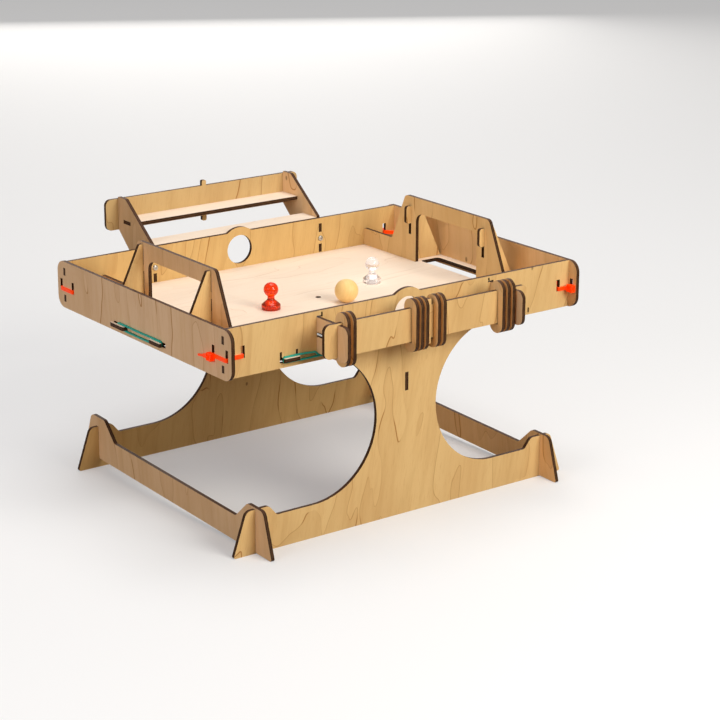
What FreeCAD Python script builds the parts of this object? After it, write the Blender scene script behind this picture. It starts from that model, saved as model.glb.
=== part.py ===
import FreeCAD, Part
import math
import os

# Tabletop football table, cut from thin plywood and put together without glue.
# Millimetres. X runs from goal to goal, Y from the score side (front, -Y) to the spectator
# side (back, +Y), Z up. The table stands on z = 0. Lengths below are measured from the middle
# of the playing field; the last step moves all pieces so that the origin is at the middle of
# the whole object's footprint.

# Sheet and fits
ply = 3.0                    # thickness of every flat piece
fit = 0.1                    # gap on each side of a tab in its slot

# Tray. Heights called rise or drop are from the playing surface, up or down.
field_length = 324.0         # between the end walls
field_width = 225.0          # between the front and back panels
field_top = 147.0            # playing surface above the ground
wall_drop = 7.7
wall_rise = 30.2
wall_overhang = 9.5          # end wall past the outer face of a panel
end_wall_round = 9.0
centre_hole_radius = 2.35

# Corner tabs of the panels in the end walls
low_tab_drop = 2.5
low_tab_height = 5.5
high_tab_rise = 19.0
high_tab_height = 6.0

# Panels: wall, pillar and base rail in one sheet
ball_hole_radius = 12.1
ball_hole_rise = 15.4
hump_rim = 6.9               # round swelling of the wall about the ball hole
hump_round = 4.0             # where it runs out into the wall's edge
pillar_waist = 28.5          # half of the pillar's least width
cut_rise = 3.2               # the round cut-outs would end this far above the wall's lower edge
panel_rail_height = 26.5
foot_inset = 2.5             # foot tip, in from the end wall
foot_lean = 12.0             # outer slope of the foot, along X
foot_crown = 20.0
foot_flank_run = 6.9         # inner slope of the foot, along X
foot_height = 34.8
side_slit_past = 38.0        # thin slit to the right of the right bracket
side_slit_width = 1.3
side_slit_drop = 5.9
side_slit_height = 4.0

# Cross rails
cross_rail_inset = 23.5      # middle of each rail, in from the end wall
cross_rail_height = 20.5
cross_foot_past = 22.5       # foot tip past the middle of the panel
cross_shoulder_past = 10.5
cross_hump_inside = 10.0     # inner end of the foot's crown, inside the panel
cross_flank_inside = 25.5
cross_hump_height = 35.6
cross_rail_lift = 7.2        # the back end sits this much higher in its slot
lap_height = 23.0            # slot bottom in the panels

# Brace between the pillars, down from the underside of the field
brace_tab_drop = 44.0
brace_tab_height = 14.5
brace_end_drop = 47.0
brace_middle_drop = 25.0

# Hooks of the field and the rubber bands around them
hook_near = 18.5             # edges of a hook from the middle of its pair
hook_far = 31.0
hook_lip = 1.5               # lip past the far edge
hook_out = 4.3               # reach past the wall
hook_slot_room = 3.4         # slot past the far edge
hook_slot_drop = 0.8         # slot below the field
end_lip = 3.2                # lip of a front hook in an end wall
end_slot_room = 5.1
back_end_far = 29.5          # the same edges of a back hook in an end wall
back_end_lip = 8.0
back_end_slot_room = 8.6
relief_width = 1.8
relief_rise = 4.5
band_wide = 2.0
band_thick = 1.2
band_strand_gap = 0.3        # between the pinched strands
band_clear = 0.3             # where a strand passes the bracket's corner
band_bend = 3.5              # from the bracket's middle to where the upper strand turns down
band_sag = 0.7               # of the upper strand at that bend

# Score side and tribune: plates bolted square to the panels
bracket_inset = 79.5         # middle of each plate, in from the end wall
bracket_drop = 1.5
bracket_height = 27.0
bolt_rise = 12.6
upper_joint_rise = 18.2
upper_joint_height = 7.2
lower_joint_rise = 0.6
lower_joint_height = 7.0
joint_slot_room = 1.1        # free height over the upper tab, in the panel
joint_slot_past = 2.2        # its reach past the tab, towards the middle
joint_notch_width = 1.4      # notch up from its inner end
joint_notch_rise = 2.4
bolt_slot_width = 3.6
bolt_slot_depth = 13.5
nut_setback = 9.8            # nut pocket from the wall
nut_width = 5.0
nut_thick = 1.8
screw_radius = 1.25
thread_gap = 0.02            # between screw and nut
screw_length = 16.0          # under the head
screw_head_radius = 2.35
screw_head_height = 1.7

# Score bar and its rings
bar_setback = 23.1           # from the wall to the back of the bar
bar_end_past = 13.3          # bar past the middle of the plate that carries it
bar_height = 26.0
bar_rise = 0.9
bar_end_round = 5.0
bar_stop_width = 4.2
bar_stop_past = 4.5          # stop above and below the bar
bar_lap_height = 11.4        # slot in the bar, from its bottom edge
lobe_length = 12.2           # bracket in front of the bar
lobe_round = 6.0
ring_width = 14.8
ring_slot_width = 3.9
ring_slot_height = 27.0
ring_rim = 7.0               # above and below the slot
outer_left_pitch = 5.4
outer_left_gap = 1.3         # from the bracket to the first ring
inner_left_pitch = 4.7
inner_left_gap = 2.15        # from the stop to the last ring
inner_right_pitch = 5.3
inner_right_gap = 1.8
outer_right_pitch = 4.95
outer_right_gap = 1.5

# Tribune
tribune_front_rise = 31.5
tribune_top_rise = 61.5
tribune_brow = 39.0          # from the wall to the end of the sloping edge
tribune_bar_setback = 50.5   # from the wall to the tribune's bar
tribune_bar_rise = 33.8
tribune_heel = 11.5          # bottom edge out from the wall
tribune_elbow = 39.4
tribune_elbow_rise = 23.8
tribune_lobe_length = 8.0
tribune_lobe_low_rise = 37.0
tribune_lobe_high_rise = 57.0
upper_shelf_depth = 22.0
upper_shelf_rise = 43.6
upper_shelf_tab_start = 31.5
upper_shelf_tab_length = 11.0
lower_shelf_depth = 20.0
lower_shelf_rise = 30.4
lower_shelf_tab_start = 5.0
lower_shelf_tab_length = 10.0

# Goals
goal_inset = 32.6            # field side of the goal frame, in from the end wall
goal_wing_height = 14.5      # above the field
goal_wing_end = 72.7
goal_height = 55.4
goal_top_half = 54.7
goal_top_round = 5.0
mouth_width = 80.0
mouth_height = 42.3
mouth_round = 8.0
goal_tab_start = 58.0
goal_tab_length = 12.0
buttress_across = 48.0
buttress_gap = 0.5           # from the frame, except at the hook's neck
buttress_height = 53.8
buttress_nose = 3.6
buttress_reach = 29.1        # along the field
buttress_tab_start = 8.0
buttress_tab_length = 10.0
lug_out = 5.0                # hook of the buttress past the goal frame
lug_bottom = 32.2            # above the field
lug_neck = 5.7
lug_height = 15.0
lug_slot_drop = 9.4
lug_low_round = 2.4          # its outer corners, below and above
lug_high_round = 2.4
trap_start = 2.6             # floor opening behind the goal frame
trap_length = 19.3
trap_width = 81.0

# Corner ties
tie_wide = 3.1
tie_thick = 1.1
tie_slot_rise = 6.3
tie_slot_height = 9.2
tie_slot_width = 3.2
tie_inner_slot = 11.2        # slot in the end wall, in from the panel's inner face
tie_outer_slot = 3.6         # slot in the end wall, out from the panel's outer face
left_tie_slot = 13.0         # slot in the panel, in from the left end wall
right_tie_slot = 10.7        # and in from the right one
tie_head_long = 6.2
tie_head_deep = 4.1
tie_head_tall = 5.8
tie_tail_long = 15.0
tie_tail_slope = 9.0         # degrees
corner_head_out = 2.4        # lock of the front right tie, out from the panel
corner_head_lift = 1.6

# Playing pieces
pawn_base_radius = 7.5
pawn_base_height = 4.2
pawn_neck_radius = 2.8
pawn_neck_height = 8.0
pawn_head_radius = 5.8
pawn_head_height = 15.8
magnet_radius = 3.5
magnet_height = 3.4
red_pawn_place = (-49.5, -5.8)
clear_pawn_place = (60.2, 8.9)
ball_radius = 9.4
ball_place = (9.5, -24.9)

# Derived places along X
half_length = field_length / 2
foot_reach = half_length - foot_inset
foot_shoulder = foot_reach - foot_lean
foot_inner = foot_shoulder - foot_crown
foot_flank = foot_inner - foot_flank_run
cross_rail_across = half_length - cross_rail_inset
bracket_across = half_length - bracket_inset
bracket_inner = bracket_across - ply / 2
bar_length = 2 * (bracket_across + bar_end_past)
goal_line = half_length - goal_inset

# Along Y
half_width = field_width / 2
panel_outer = half_width + ply
end_wall_half = panel_outer + wall_overhang
bar_back = panel_outer + bar_setback
bar_front = bar_back + ply
lobe_front = bar_front + lobe_length
tribune_bar_front = panel_outer + tribune_bar_setback
tribune_bar_back = tribune_bar_front + ply
tribune_lobe_back = tribune_bar_back + tribune_lobe_length
origin_shift = (lobe_front - tribune_lobe_back) / 2

# Heights
field_bottom = field_top - ply
wall_bottom = field_top - wall_drop
wall_top = field_top + wall_rise
cut_radius = (wall_bottom + cut_rise - panel_rail_height) / 2
cut_across = pillar_waist + cut_radius
ball_hole_height = field_top + ball_hole_rise
low_tab_bottom = field_top - low_tab_drop
high_tab_bottom = field_top + high_tab_rise
brace_tab_bottom = field_bottom - brace_tab_drop
bracket_bottom = field_top - bracket_drop
bolt_height = field_top + bolt_rise
upper_joint_bottom = field_top + upper_joint_rise
lower_joint_bottom = field_top + lower_joint_rise
bar_bottom = field_top + bar_rise
tribune_top = field_top + tribune_top_rise
tribune_bar_bottom = field_top + tribune_bar_rise
upper_shelf_top = field_top + upper_shelf_rise
lower_shelf_top = field_top + lower_shelf_rise
tie_slot_bottom = field_top + tie_slot_rise


def vec(x, y, z):
    return FreeCAD.Vector(x, y, z)


# The three ways a sheet can lie: outline (u, v) and height w above its plane
def flat(u, v, w):
    return vec(u, v, w)


def along(u, v, w):
    return vec(u, w, v)


def across(u, v, w):
    return vec(w, u, v)


def round_corner(before, corner, after):
    """Points of one corner of an outline: the corner itself, or the ends and middle of its arc."""
    at = vec(corner[0], corner[1], 0)
    if len(corner) < 3:
        return [at]
    back = vec(before[0], before[1], 0) - at
    onward = vec(after[0], after[1], 0) - at
    room = 0.48 * min(back.Length, onward.Length)
    half_angle = back.getAngle(onward) / 2
    reach = min(corner[2] / math.tan(half_angle), room)
    radius = reach * math.tan(half_angle)
    back.normalize()
    onward.normalize()
    inward = (back + onward).normalize()
    centre = at + inward * (radius / math.sin(half_angle))
    return [at + back * reach, centre - inward * radius, at + onward * reach]


def sheet_face(corners, lie, level):
    """Flat face from corners (u, v) or (u, v, radius)."""
    edges = []
    count = len(corners)
    turns = [round_corner(corners[i - 1], corners[i], corners[(i + 1) % count])
             for i in range(count)]
    for i in range(count):
        turn = [lie(p.x, p.y, level) for p in turns[i]]
        following = turns[(i + 1) % count][0]
        if len(turn) == 3:
            edges.append(Part.Arc(turn[0], turn[1], turn[2]).toShape())
        edges.append(Part.makeLine(turn[-1], lie(following.x, following.y, level)))
    return Part.Face(Part.Wire(edges))


def sheet(corners, lie, level, thick=ply):
    """Plate from an outline, its low face at the given level."""
    return sheet_face(corners, lie, level).extrude(lie(0, 0, thick))


def block(u0, u1, v0, v1, lie, level, thick=ply):
    """Straight block, or the space of a slot, across a sheet."""
    return sheet([(u0, v0), (u1, v0), (u1, v1), (u0, v1)], lie, level, thick)


def slot(u_middle, u_width, v0, v1, lie, level):
    """Space of a slot that a sheet or tab passes through, with the fit on every side."""
    half = u_width / 2 + fit
    return block(u_middle - half, u_middle + half, v0 - fit, v1 + fit, lie, level - 1, ply + 2)


def drill(u, v, radius, lie, level, depth=ply):
    """Round hole through a sheet."""
    start = lie(u, v, level - 1)
    return Part.makeCylinder(radius, depth + 2, start, lie(0, 0, 1))


def mirrored(shape, axis):
    return shape.mirror(vec(0, 0, 0), axis)


left_to_right = vec(1, 0, 0)
front_to_back = vec(0, 1, 0)


def clean(shape):
    """One solid without leftover seams."""
    return shape.removeSplitter()


# Panels
def hook_slot(start, end, lie, level):
    """Slot for one hook of the field, from its near to its far end."""
    floor = field_bottom - hook_slot_drop
    return block(min(start, end), max(start, end), floor, field_top + fit, lie, level - 1, ply + 2)


def relief(edge, inward, level):
    """Upright notch at one end of a hook slot in a panel."""
    low = min(edge, edge + inward * relief_width)
    floor = field_bottom - hook_slot_drop
    return block(low, low + relief_width, floor, field_top + relief_rise, along, level - 1, ply + 2)


def panel_hook_slots(side, level):
    """Slots for the two hooks beside one bracket."""
    middle = side * bracket_across
    near = hook_near - fit
    far = hook_far + hook_slot_room
    return [hook_slot(middle + way * near, middle + way * far, along, level) for way in (-1, 1)]


def outer_slot_reliefs(side, level):
    """Relief notches at both ends of the outer hook slot beside one bracket."""
    middle = side * bracket_across
    near = side * (hook_near - fit)
    far = side * (hook_far + hook_slot_room)
    return [relief(middle + near, side, level), relief(middle + far, -side, level)]


def upper_joint_head(side, level):
    """Free space over a bolted plate's upper tab, with a notch up at its inner end."""
    low = upper_joint_bottom + upper_joint_height
    top = low + joint_slot_room
    outer = side * (bracket_across + ply / 2 + fit)
    inner = side * (bracket_inner - fit - joint_slot_past)
    notch = inner + side * joint_notch_width
    return [block(min(inner, outer), max(inner, outer), low, top, along, level - 1, ply + 2),
            block(min(inner, notch), max(inner, notch), low, top + joint_notch_rise,
                  along, level - 1, ply + 2)]


def panel_foot(side):
    """Corners of one foot of a panel, from its tip to the rail."""
    return [
        (side * foot_reach, 0, 1.5),
        (side * foot_shoulder, foot_height, 5.5),
        (side * foot_inner, foot_height, 5.0),
        (side * foot_flank, panel_rail_height, 3.0),
    ]


def panel_plate(level):
    """Wall, hourglass pillar and base rail in one sheet, before its slots are cut."""
    wall = block(-half_length, half_length, wall_bottom, wall_top, along, level)
    hump_radius = ball_hole_radius + hump_rim
    hump = Part.makeCylinder(hump_radius, ply, along(0, ball_hole_height, level), along(0, 0, 1))
    pillar = block(-cut_across, cut_across, panel_rail_height, wall_bottom, along, level)
    cut_height = panel_rail_height + cut_radius
    for side in (-1, 1):
        pillar = pillar.cut(drill(side * cut_across, cut_height, cut_radius, along, level))
    rail = sheet(panel_foot(1) + panel_foot(-1)[::-1], along, level)
    tabs = []
    for low, height in ((low_tab_bottom, low_tab_height), (high_tab_bottom, high_tab_height)):
        for side in (-1, 1):
            edge = side * (half_length + ply / 2)
            tabs.append(block(edge - ply / 2, edge + ply / 2, low, low + height, along, level))
    panel = clean(wall.multiFuse([hump, pillar, rail] + tabs))
    inner_corners = [e for e in panel.Edges if abs(e.BoundBox.ZMin - wall_top) < fit
                     and e.BoundBox.YLength > ply - fit and abs(e.BoundBox.Center.x) < hump_radius]
    return panel.makeFillet(hump_round, inner_corners)


def panel_spaces(level):
    """Everything that is cut out of both panels: holes, joints and slots."""
    spaces = [drill(0, ball_hole_height, ball_hole_radius, along, level)]
    spaces.append(slot(0, ply, brace_tab_bottom, brace_tab_bottom + brace_tab_height, along, level))
    for side in (-1, 1):
        middle = side * bracket_across
        upper_top = upper_joint_bottom + upper_joint_height
        lower_top = lower_joint_bottom + lower_joint_height
        spaces.append(slot(middle, ply, upper_joint_bottom, upper_top, along, level))
        spaces.append(slot(middle, ply, lower_joint_bottom, lower_top, along, level))
        spaces.append(drill(middle, bolt_height, screw_radius + fit, along, level))
        spaces += panel_hook_slots(side, level)
        tie_middle = side * (half_length - (left_tie_slot if side < 0 else right_tie_slot))
        tie_top = tie_slot_bottom + tie_slot_height
        spaces.append(slot(tie_middle, tie_slot_width, tie_slot_bottom, tie_top, along, level))
        spaces.append(slot(side * cross_rail_across, ply, lap_height + fit, foot_height + ply, along, level))
    return spaces


def score_side_spaces(level):
    """What only the front panel has: it goes on last, so its slots have room to be pressed on."""
    spaces = []
    for side in (-1, 1):
        spaces += upper_joint_head(side, level)
        spaces += outer_slot_reliefs(side, level)
    slit = bracket_across + side_slit_past
    slit_bottom = field_top - side_slit_drop
    spaces.append(block(slit - side_slit_width / 2, slit + side_slit_width / 2,
                        slit_bottom, slit_bottom + side_slit_height, along, level - 1, ply + 2))
    return spaces


def front_panel():
    level = -panel_outer
    return clean(panel_plate(level).cut(panel_spaces(level) + score_side_spaces(level)))


def back_panel():
    level = -panel_outer
    return mirrored(clean(panel_plate(level).cut(panel_spaces(level))), front_to_back)


def left_end_wall():
    """Short wall; the panels' tabs end flush with its outer face."""
    level = -half_length - ply
    wall = sheet([
        (-end_wall_half, wall_bottom, end_wall_round), (end_wall_half, wall_bottom, end_wall_round),
        (end_wall_half, wall_top, end_wall_round), (-end_wall_half, wall_top, end_wall_round),
    ], across, level)
    near = hook_near - fit
    spaces = [hook_slot(-near, -hook_far - end_slot_room, across, level),
              hook_slot(near, back_end_far + back_end_slot_room, across, level)]
    tie_top = tie_slot_bottom + tie_slot_height
    low_tab_top = low_tab_bottom + low_tab_height
    high_tab_top = high_tab_bottom + high_tab_height
    for side in (-1, 1):
        panel_middle = side * (half_width + ply / 2)
        spaces.append(slot(panel_middle, ply, low_tab_bottom, low_tab_top, across, level))
        spaces.append(slot(panel_middle, ply, high_tab_bottom, high_tab_top, across, level))
        for tie_middle in (half_width - tie_inner_slot, panel_outer + tie_outer_slot):
            spaces.append(slot(side * tie_middle, tie_slot_width, tie_slot_bottom, tie_top, across, level))
    return clean(wall.cut(spaces))


def cross_rail():
    """Rail across the table with a foot at each end, half-lapped over the left feet of the panels."""
    level = -cross_rail_across - ply / 2
    panel_middle = half_width + ply / 2
    half = []
    for side in (-1, 1):
        half.append([
            (side * (panel_middle + cross_foot_past), 0, 1.5),
            (side * (panel_middle + cross_shoulder_past), cross_hump_height, 5.5),
            (side * (panel_middle - cross_hump_inside), cross_hump_height, 5.0),
            (side * (panel_middle - cross_flank_inside), cross_rail_height, 4.0),
        ])
    rail = sheet(half[1] + half[0][::-1], across, level)
    tip = -panel_middle - cross_foot_past
    slope = math.atan(cross_rail_lift / (panel_middle - tip))
    rail.rotate(vec(0, tip, 0), left_to_right, math.degrees(slope))
    front_lap = block(-panel_middle - ply / 2 - fit, -panel_middle + ply / 2 + fit, -1, lap_height,
                      across, level - 1, ply + 2)
    back_lap = block(panel_middle - ply / 2 - fit, panel_middle + ply / 2 + fit, -1,
                     lap_height + cross_rail_lift, across, level - 1, ply + 2)
    return clean(rail.cut([front_lap, back_lap]))


def pillar_brace():
    """Arched plate between the two pillars, under the field."""
    level = -ply / 2
    arch_end = field_bottom - brace_end_drop
    plate = block(-half_width, half_width, arch_end, field_bottom, across, level)
    near = across(-half_width, arch_end, level - 1)
    far = across(half_width, arch_end, level - 1)
    arch = Part.Arc(near, across(0, field_bottom - brace_middle_drop, level - 1), far).toShape()
    chord = Part.makeLine(far, near)
    plate = plate.cut(Part.Face(Part.Wire([arch, chord])).extrude(across(0, 0, ply + 2)))
    top = brace_tab_bottom + brace_tab_height
    tabs = [block(end - ply / 2, end + ply / 2, brace_tab_bottom, top, across, level)
            for end in (-half_width - ply / 2, half_width + ply / 2)]
    return clean(plate.multiFuse(tabs))


def hook(near, far, lip, side_v, edge, lie_down):
    """One hook of the field in the plane of the field: a neck through the wall and a lip outside.

    near and far are the neck's edges and lip the end of the lip, all along the wall; side_v
    picks the outward direction."""
    lip_start = edge + ply + band_wide + 2 * fit
    tip = edge + ply + hook_out
    corners = [
        (near, side_v * (edge - 1)), (near, side_v * tip, 1.5), (lip, side_v * tip, 1.2),
        (lip, side_v * lip_start), (far, side_v * lip_start), (far, side_v * (edge - 1)),
    ]
    return sheet(corners, lie_down, field_bottom)


def turned(u, v, w):
    """The field's plane with its outline turned: u runs along Y and v along X."""
    return vec(v, u, w)


def play_field():
    """Field with its hooks, the openings behind the goals and the slots of the goals."""
    field = block(-half_length, half_length, -half_width, half_width, flat, field_bottom)
    hooks = []
    for side_v in (-1, 1):
        hooks.append(hook(-hook_near, -hook_far, -hook_far - end_lip, side_v, half_length, turned))
        hooks.append(hook(hook_near, back_end_far, back_end_far + back_end_lip, side_v, half_length, turned))
        for middle in (-bracket_across, bracket_across):
            for side_u in (-1, 1):
                lip = middle + side_u * (hook_far + hook_lip)
                hooks.append(hook(middle + side_u * hook_near, middle + side_u * hook_far, lip,
                                  side_v, half_width, flat))
    field = field.multiFuse(hooks)
    spaces = [drill(0, 0, centre_hole_radius, flat, field_bottom)]
    frame_middle = goal_line + ply / 2
    trap = goal_line + ply + trap_start
    butt = goal_line + ply + buttress_tab_start
    for end in (-1, 1):
        spaces.append(sheet([
            (end * trap, -trap_width / 2, 3), (end * (trap + trap_length), -trap_width / 2, 3),
            (end * (trap + trap_length), trap_width / 2, 3), (end * trap, trap_width / 2, 3),
        ], flat, field_bottom - 1, ply + 2))
        for side in (-1, 1):
            tab_middle = side * (goal_tab_start + goal_tab_length / 2)
            spaces.append(slot(end * frame_middle, ply, tab_middle - goal_tab_length / 2,
                               tab_middle + goal_tab_length / 2, flat, field_bottom))
            spaces.append(slot(end * (butt + buttress_tab_length / 2), buttress_tab_length,
                               side * buttress_across - ply / 2, side * buttress_across + ply / 2,
                               flat, field_bottom))
    return clean(field.cut(spaces))


# Goals
def left_goal_frame():
    """Goal wall across the field with the mouth in its middle."""
    level = -goal_line - ply
    mouth = mouth_width / 2
    wing_top = field_top + goal_wing_height
    goal_top = field_top + goal_height
    mouth_top = field_top + mouth_height
    frame = sheet([
        (mouth, field_top), (half_width, field_top), (half_width, wing_top, 1.0),
        (goal_wing_end, wing_top, 3.0), (goal_top_half, goal_top, goal_top_round),
        (-goal_top_half, goal_top, goal_top_round), (-goal_wing_end, wing_top, 3.0),
        (-half_width, wing_top, 1.0), (-half_width, field_top), (-mouth, field_top),
        (-mouth, mouth_top, mouth_round), (mouth, mouth_top, mouth_round),
    ], across, level)
    tabs = []
    spaces = []
    for side in (-1, 1):
        tab_middle = side * (goal_tab_start + goal_tab_length / 2)
        tabs.append(block(tab_middle - goal_tab_length / 2, tab_middle + goal_tab_length / 2,
                          field_bottom, field_top, across, level))
        lug = field_top + lug_bottom
        spaces.append(slot(side * buttress_across, ply, lug - lug_slot_drop, lug + lug_neck, across, level))
    return clean(frame.multiFuse(tabs).cut(spaces))


def left_goal_front_buttress():
    """Three-cornered plate behind the goal frame, hooked through it and tabbed into the field."""
    level = -buttress_across - ply / 2
    back = -goal_line - ply
    edge = back - buttress_gap
    top = field_top + buttress_height
    lug = field_top + lug_bottom
    lug_top = lug + lug_height
    lug_tip = back + ply + lug_out
    mouth_side = back + ply
    plate = sheet([
        (edge, field_top), (edge, top), (back - buttress_nose, top, 1.5),
        (back - buttress_reach, field_top, 0.8),
    ], along, level)
    neck = block(edge, mouth_side, lug, lug + lug_neck, along, level)
    lobe = sheet([
        (mouth_side, lug, 0.8), (lug_tip, lug, lug_low_round), (lug_tip, lug_top, lug_high_round),
        (mouth_side + fit, lug_top, 1.0), (mouth_side + fit, lug + lug_neck), (mouth_side, lug + lug_neck),
    ], along, level)
    start = back - buttress_tab_start
    tab = block(start - buttress_tab_length, start, field_bottom, field_top, along, level)
    return clean(plate.multiFuse([neck, lobe, tab]))


# Score side
def joint_plate_tabs(side_v, level):
    """Tabs of a bolted plate through the panel on the given side of the table."""
    edge = side_v * (half_width + ply / 2)
    tabs = []
    for low, height in ((upper_joint_bottom, upper_joint_height), (lower_joint_bottom, lower_joint_height)):
        tabs.append(block(edge - ply / 2, edge + ply / 2, low, low + height, across, level))
    return tabs


def joint_plate_spaces(side_v, level):
    """Slot for the screw and the pocket for its nut."""
    wall = side_v * panel_outer
    inward = side_v * (panel_outer - 1)
    end = wall + side_v * bolt_slot_depth
    half = bolt_slot_width / 2
    screw = block(min(inward, end), max(inward, end), bolt_height - half, bolt_height + half,
                  across, level - 1, ply + 2)
    pocket = wall + side_v * (nut_setback + nut_thick / 2)
    half_nut = nut_width / 2
    nut = slot(pocket, nut_thick, bolt_height - half_nut, bolt_height + half_nut, across, level)
    return [screw, nut]


def right_score_bracket():
    """Plate that carries the score bar; its rounded lobe stands in front of the bar."""
    level = bracket_inner
    top = bracket_bottom + bracket_height
    plate = sheet([
        (-panel_outer, bracket_bottom), (-panel_outer, top),
        (-lobe_front, top, lobe_round), (-lobe_front, bracket_bottom, lobe_round),
    ], across, level)
    lap_bottom = bar_bottom + bar_lap_height
    lap = block(-bar_front - fit, -bar_back + fit, lap_bottom, top + 1, across, level - 1, ply + 2)
    plate = plate.multiFuse(joint_plate_tabs(-1, level))
    return clean(plate.cut([lap] + joint_plate_spaces(-1, level)))


def scoring_bar(bottom, low_face):
    """Bar with round ends, a stop in the middle and a slot over each plate that carries it."""
    half = bar_length / 2
    top = bottom + bar_height
    stop = bar_stop_width / 2
    bar = sheet([
        (-half, bottom, bar_end_round), (half, bottom, bar_end_round),
        (half, top, bar_end_round), (-half, top, bar_end_round),
    ], along, low_face)
    centre = sheet([
        (-stop, bottom - bar_stop_past, 1.2), (stop, bottom - bar_stop_past, 1.2),
        (stop, top + bar_stop_past, 1.2), (-stop, top + bar_stop_past, 1.2),
    ], along, low_face)
    laps = [block(side * bracket_across - ply / 2 - fit, side * bracket_across + ply / 2 + fit,
                  bottom - 1, bottom + bar_lap_height, along, low_face - 1, ply + 2) for side in (-1, 1)]
    return clean(bar.fuse(centre).cut(laps))


def score_ring(left_face):
    """Long ring that hangs on the score bar and slides along it."""
    bar_top = bar_bottom + bar_height
    middle = -(bar_back + bar_front) / 2
    slot_bottom = bar_top - ring_slot_height
    half = ring_width / 2
    half_slot = ring_slot_width / 2
    top = bar_top + ring_rim
    bottom = slot_bottom - ring_rim
    ring = sheet([
        (middle - half, bottom, half), (middle + half, bottom, half),
        (middle + half, top, half), (middle - half, top, half),
    ], across, left_face)
    return clean(ring.cut(block(middle - half_slot, middle + half_slot, slot_bottom, bar_top,
                                across, left_face - 1, ply + 2)))


def ring_faces():
    """Left face of each ring at rest, from left to right."""
    stop = bar_stop_width / 2
    faces = [-bracket_inner + outer_left_gap + outer_left_pitch * i for i in range(2)]
    faces += [-stop - inner_left_gap - ply - inner_left_pitch * i for i in (2, 1, 0)]
    faces += [stop + inner_right_gap + inner_right_pitch * i for i in range(2)]
    faces += [bracket_inner - outer_right_gap - ply - outer_right_pitch * i for i in (2, 1, 0)]
    return faces


# Tribune
def right_tribune_side():
    """Side of the tribune: bolted to the back panel, it carries two shelves and the rear bar."""
    level = bracket_inner
    wall = panel_outer
    lobe_high = field_top + tribune_lobe_high_rise
    lobe_low = field_top + tribune_lobe_low_rise
    plate = sheet([
        (wall, bracket_bottom), (wall, field_top + tribune_front_rise),
        (wall + tribune_brow, tribune_top, 4.0), (tribune_bar_back, tribune_top),
        (tribune_bar_back, lobe_high), (tribune_lobe_back, lobe_high, 3.5),
        (tribune_lobe_back, lobe_low, 3.5), (tribune_bar_front, tribune_bar_bottom),
        (wall + tribune_elbow, field_top + tribune_elbow_rise, 3.0),
        (wall + tribune_heel, bracket_bottom, 3.0),
    ], across, level)
    lap = block(tribune_bar_front - fit, tribune_bar_back + fit, tribune_bar_bottom + bar_lap_height,
                tribune_top + 1, across, level - 1, ply + 2)
    spaces = [lap] + joint_plate_spaces(1, level)
    shelves = ((upper_shelf_tab_start, upper_shelf_tab_length, upper_shelf_top),
               (lower_shelf_tab_start, lower_shelf_tab_length, lower_shelf_top))
    for start, length, top in shelves:
        spaces.append(slot(wall + start + length / 2, length, top - ply, top, across, level))
    return clean(plate.multiFuse(joint_plate_tabs(1, level)).cut(spaces))


def tribune_shelf(start, depth, top, tab_start, tab_length):
    """Shelf between the sides, with a tab through each."""
    shelf = block(-bracket_inner, bracket_inner, start, start + depth, flat, top - ply)
    tabs = []
    for side in (-1, 1):
        middle = side * bracket_across
        tabs.append(block(middle - ply / 2, middle + ply / 2, panel_outer + tab_start,
                          panel_outer + tab_start + tab_length, flat, top - ply))
    return clean(shelf.multiFuse(tabs))


# Bands and ties
def loop(path, lie, level, wide, thick):
    """Closed band on edge along a path of (u, v) points, round at every corner."""
    solids = []
    for i in range(len(path)):
        here = vec(path[i - 1][0], path[i - 1][1], 0)
        there = vec(path[i][0], path[i][1], 0)
        run = there - here
        run.normalize()
        side = vec(-run.y, run.x, 0) * (thick / 2)
        corners = [here + side, there + side, there - side, here - side]
        solids.append(sheet([(c.x, c.y) for c in corners], lie, level, wide))
        solids.append(Part.makeCylinder(thick / 2, wide, lie(there.x, there.y, level), lie(0, 0, 1)))
    return clean(solids[0].multiFuse(solids[1:]))


def end_band_path():
    """Middle line of the rubber band around the two hooks of an end wall."""
    half = band_thick / 2
    front = -hook_far - half
    back = back_end_far + half
    high = field_top + half
    low = field_bottom - half
    return [(front, high), (back, high), (back, low), (front, low)]


def side_band_path(middle):
    """Middle line of the band around the hooks beside a bracket, which presses it down."""
    half = band_thick / 2
    end = hook_far + half
    high = field_top + half
    low = field_bottom - half
    pressed = bracket_bottom - half - fit
    pushed = min(low, pressed - band_thick - band_strand_gap)
    press = ply / 2 + band_clear
    bend = high - band_sag
    return [
        (middle - end, high), (middle - hook_near, high), (middle - band_bend, bend),
        (middle - press, pressed), (middle + press, pressed), (middle + band_bend, bend),
        (middle + hook_near, high), (middle + end, high), (middle + end, low),
        (middle + press, pushed), (middle - press, pushed), (middle - end, low),
    ]


def corner_tie_path(panel_slot_in):
    """Middle line of the tie around the front left corner, seen from above."""
    half = tie_thick / 2
    outside = -half_length - ply - half
    inside = -half_length + 0.6
    outer = -panel_outer - tie_outer_slot
    inner = -half_width + tie_inner_slot
    panel_slot = -half_length + panel_slot_in
    front = -panel_outer - half
    return [
        (outside, inner), (outside, outer), (inside, outer), (inside + 4.5, front),
        (panel_slot, front), (panel_slot, -half_width + 0.6), (inside, inner),
    ]


def tie_strap(panel_slot_in):
    return loop(corner_tie_path(panel_slot_in), flat, strap_low, tie_wide, tie_thick)


def tie_head(x0, y0, low, long_x, long_y):
    """Square lock of a tie."""
    lock = Part.makeBox(long_x, long_y, tie_head_tall, vec(x0, y0, low))
    return lock.makeFillet(0.8, [e for e in lock.Edges if abs(e.tangentAt(e.FirstParameter).z) > 0.9])


strap_low = tie_slot_bottom + fit
head_low = strap_low + tie_wide / 2 - tie_head_tall / 2 - 1.2


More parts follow.
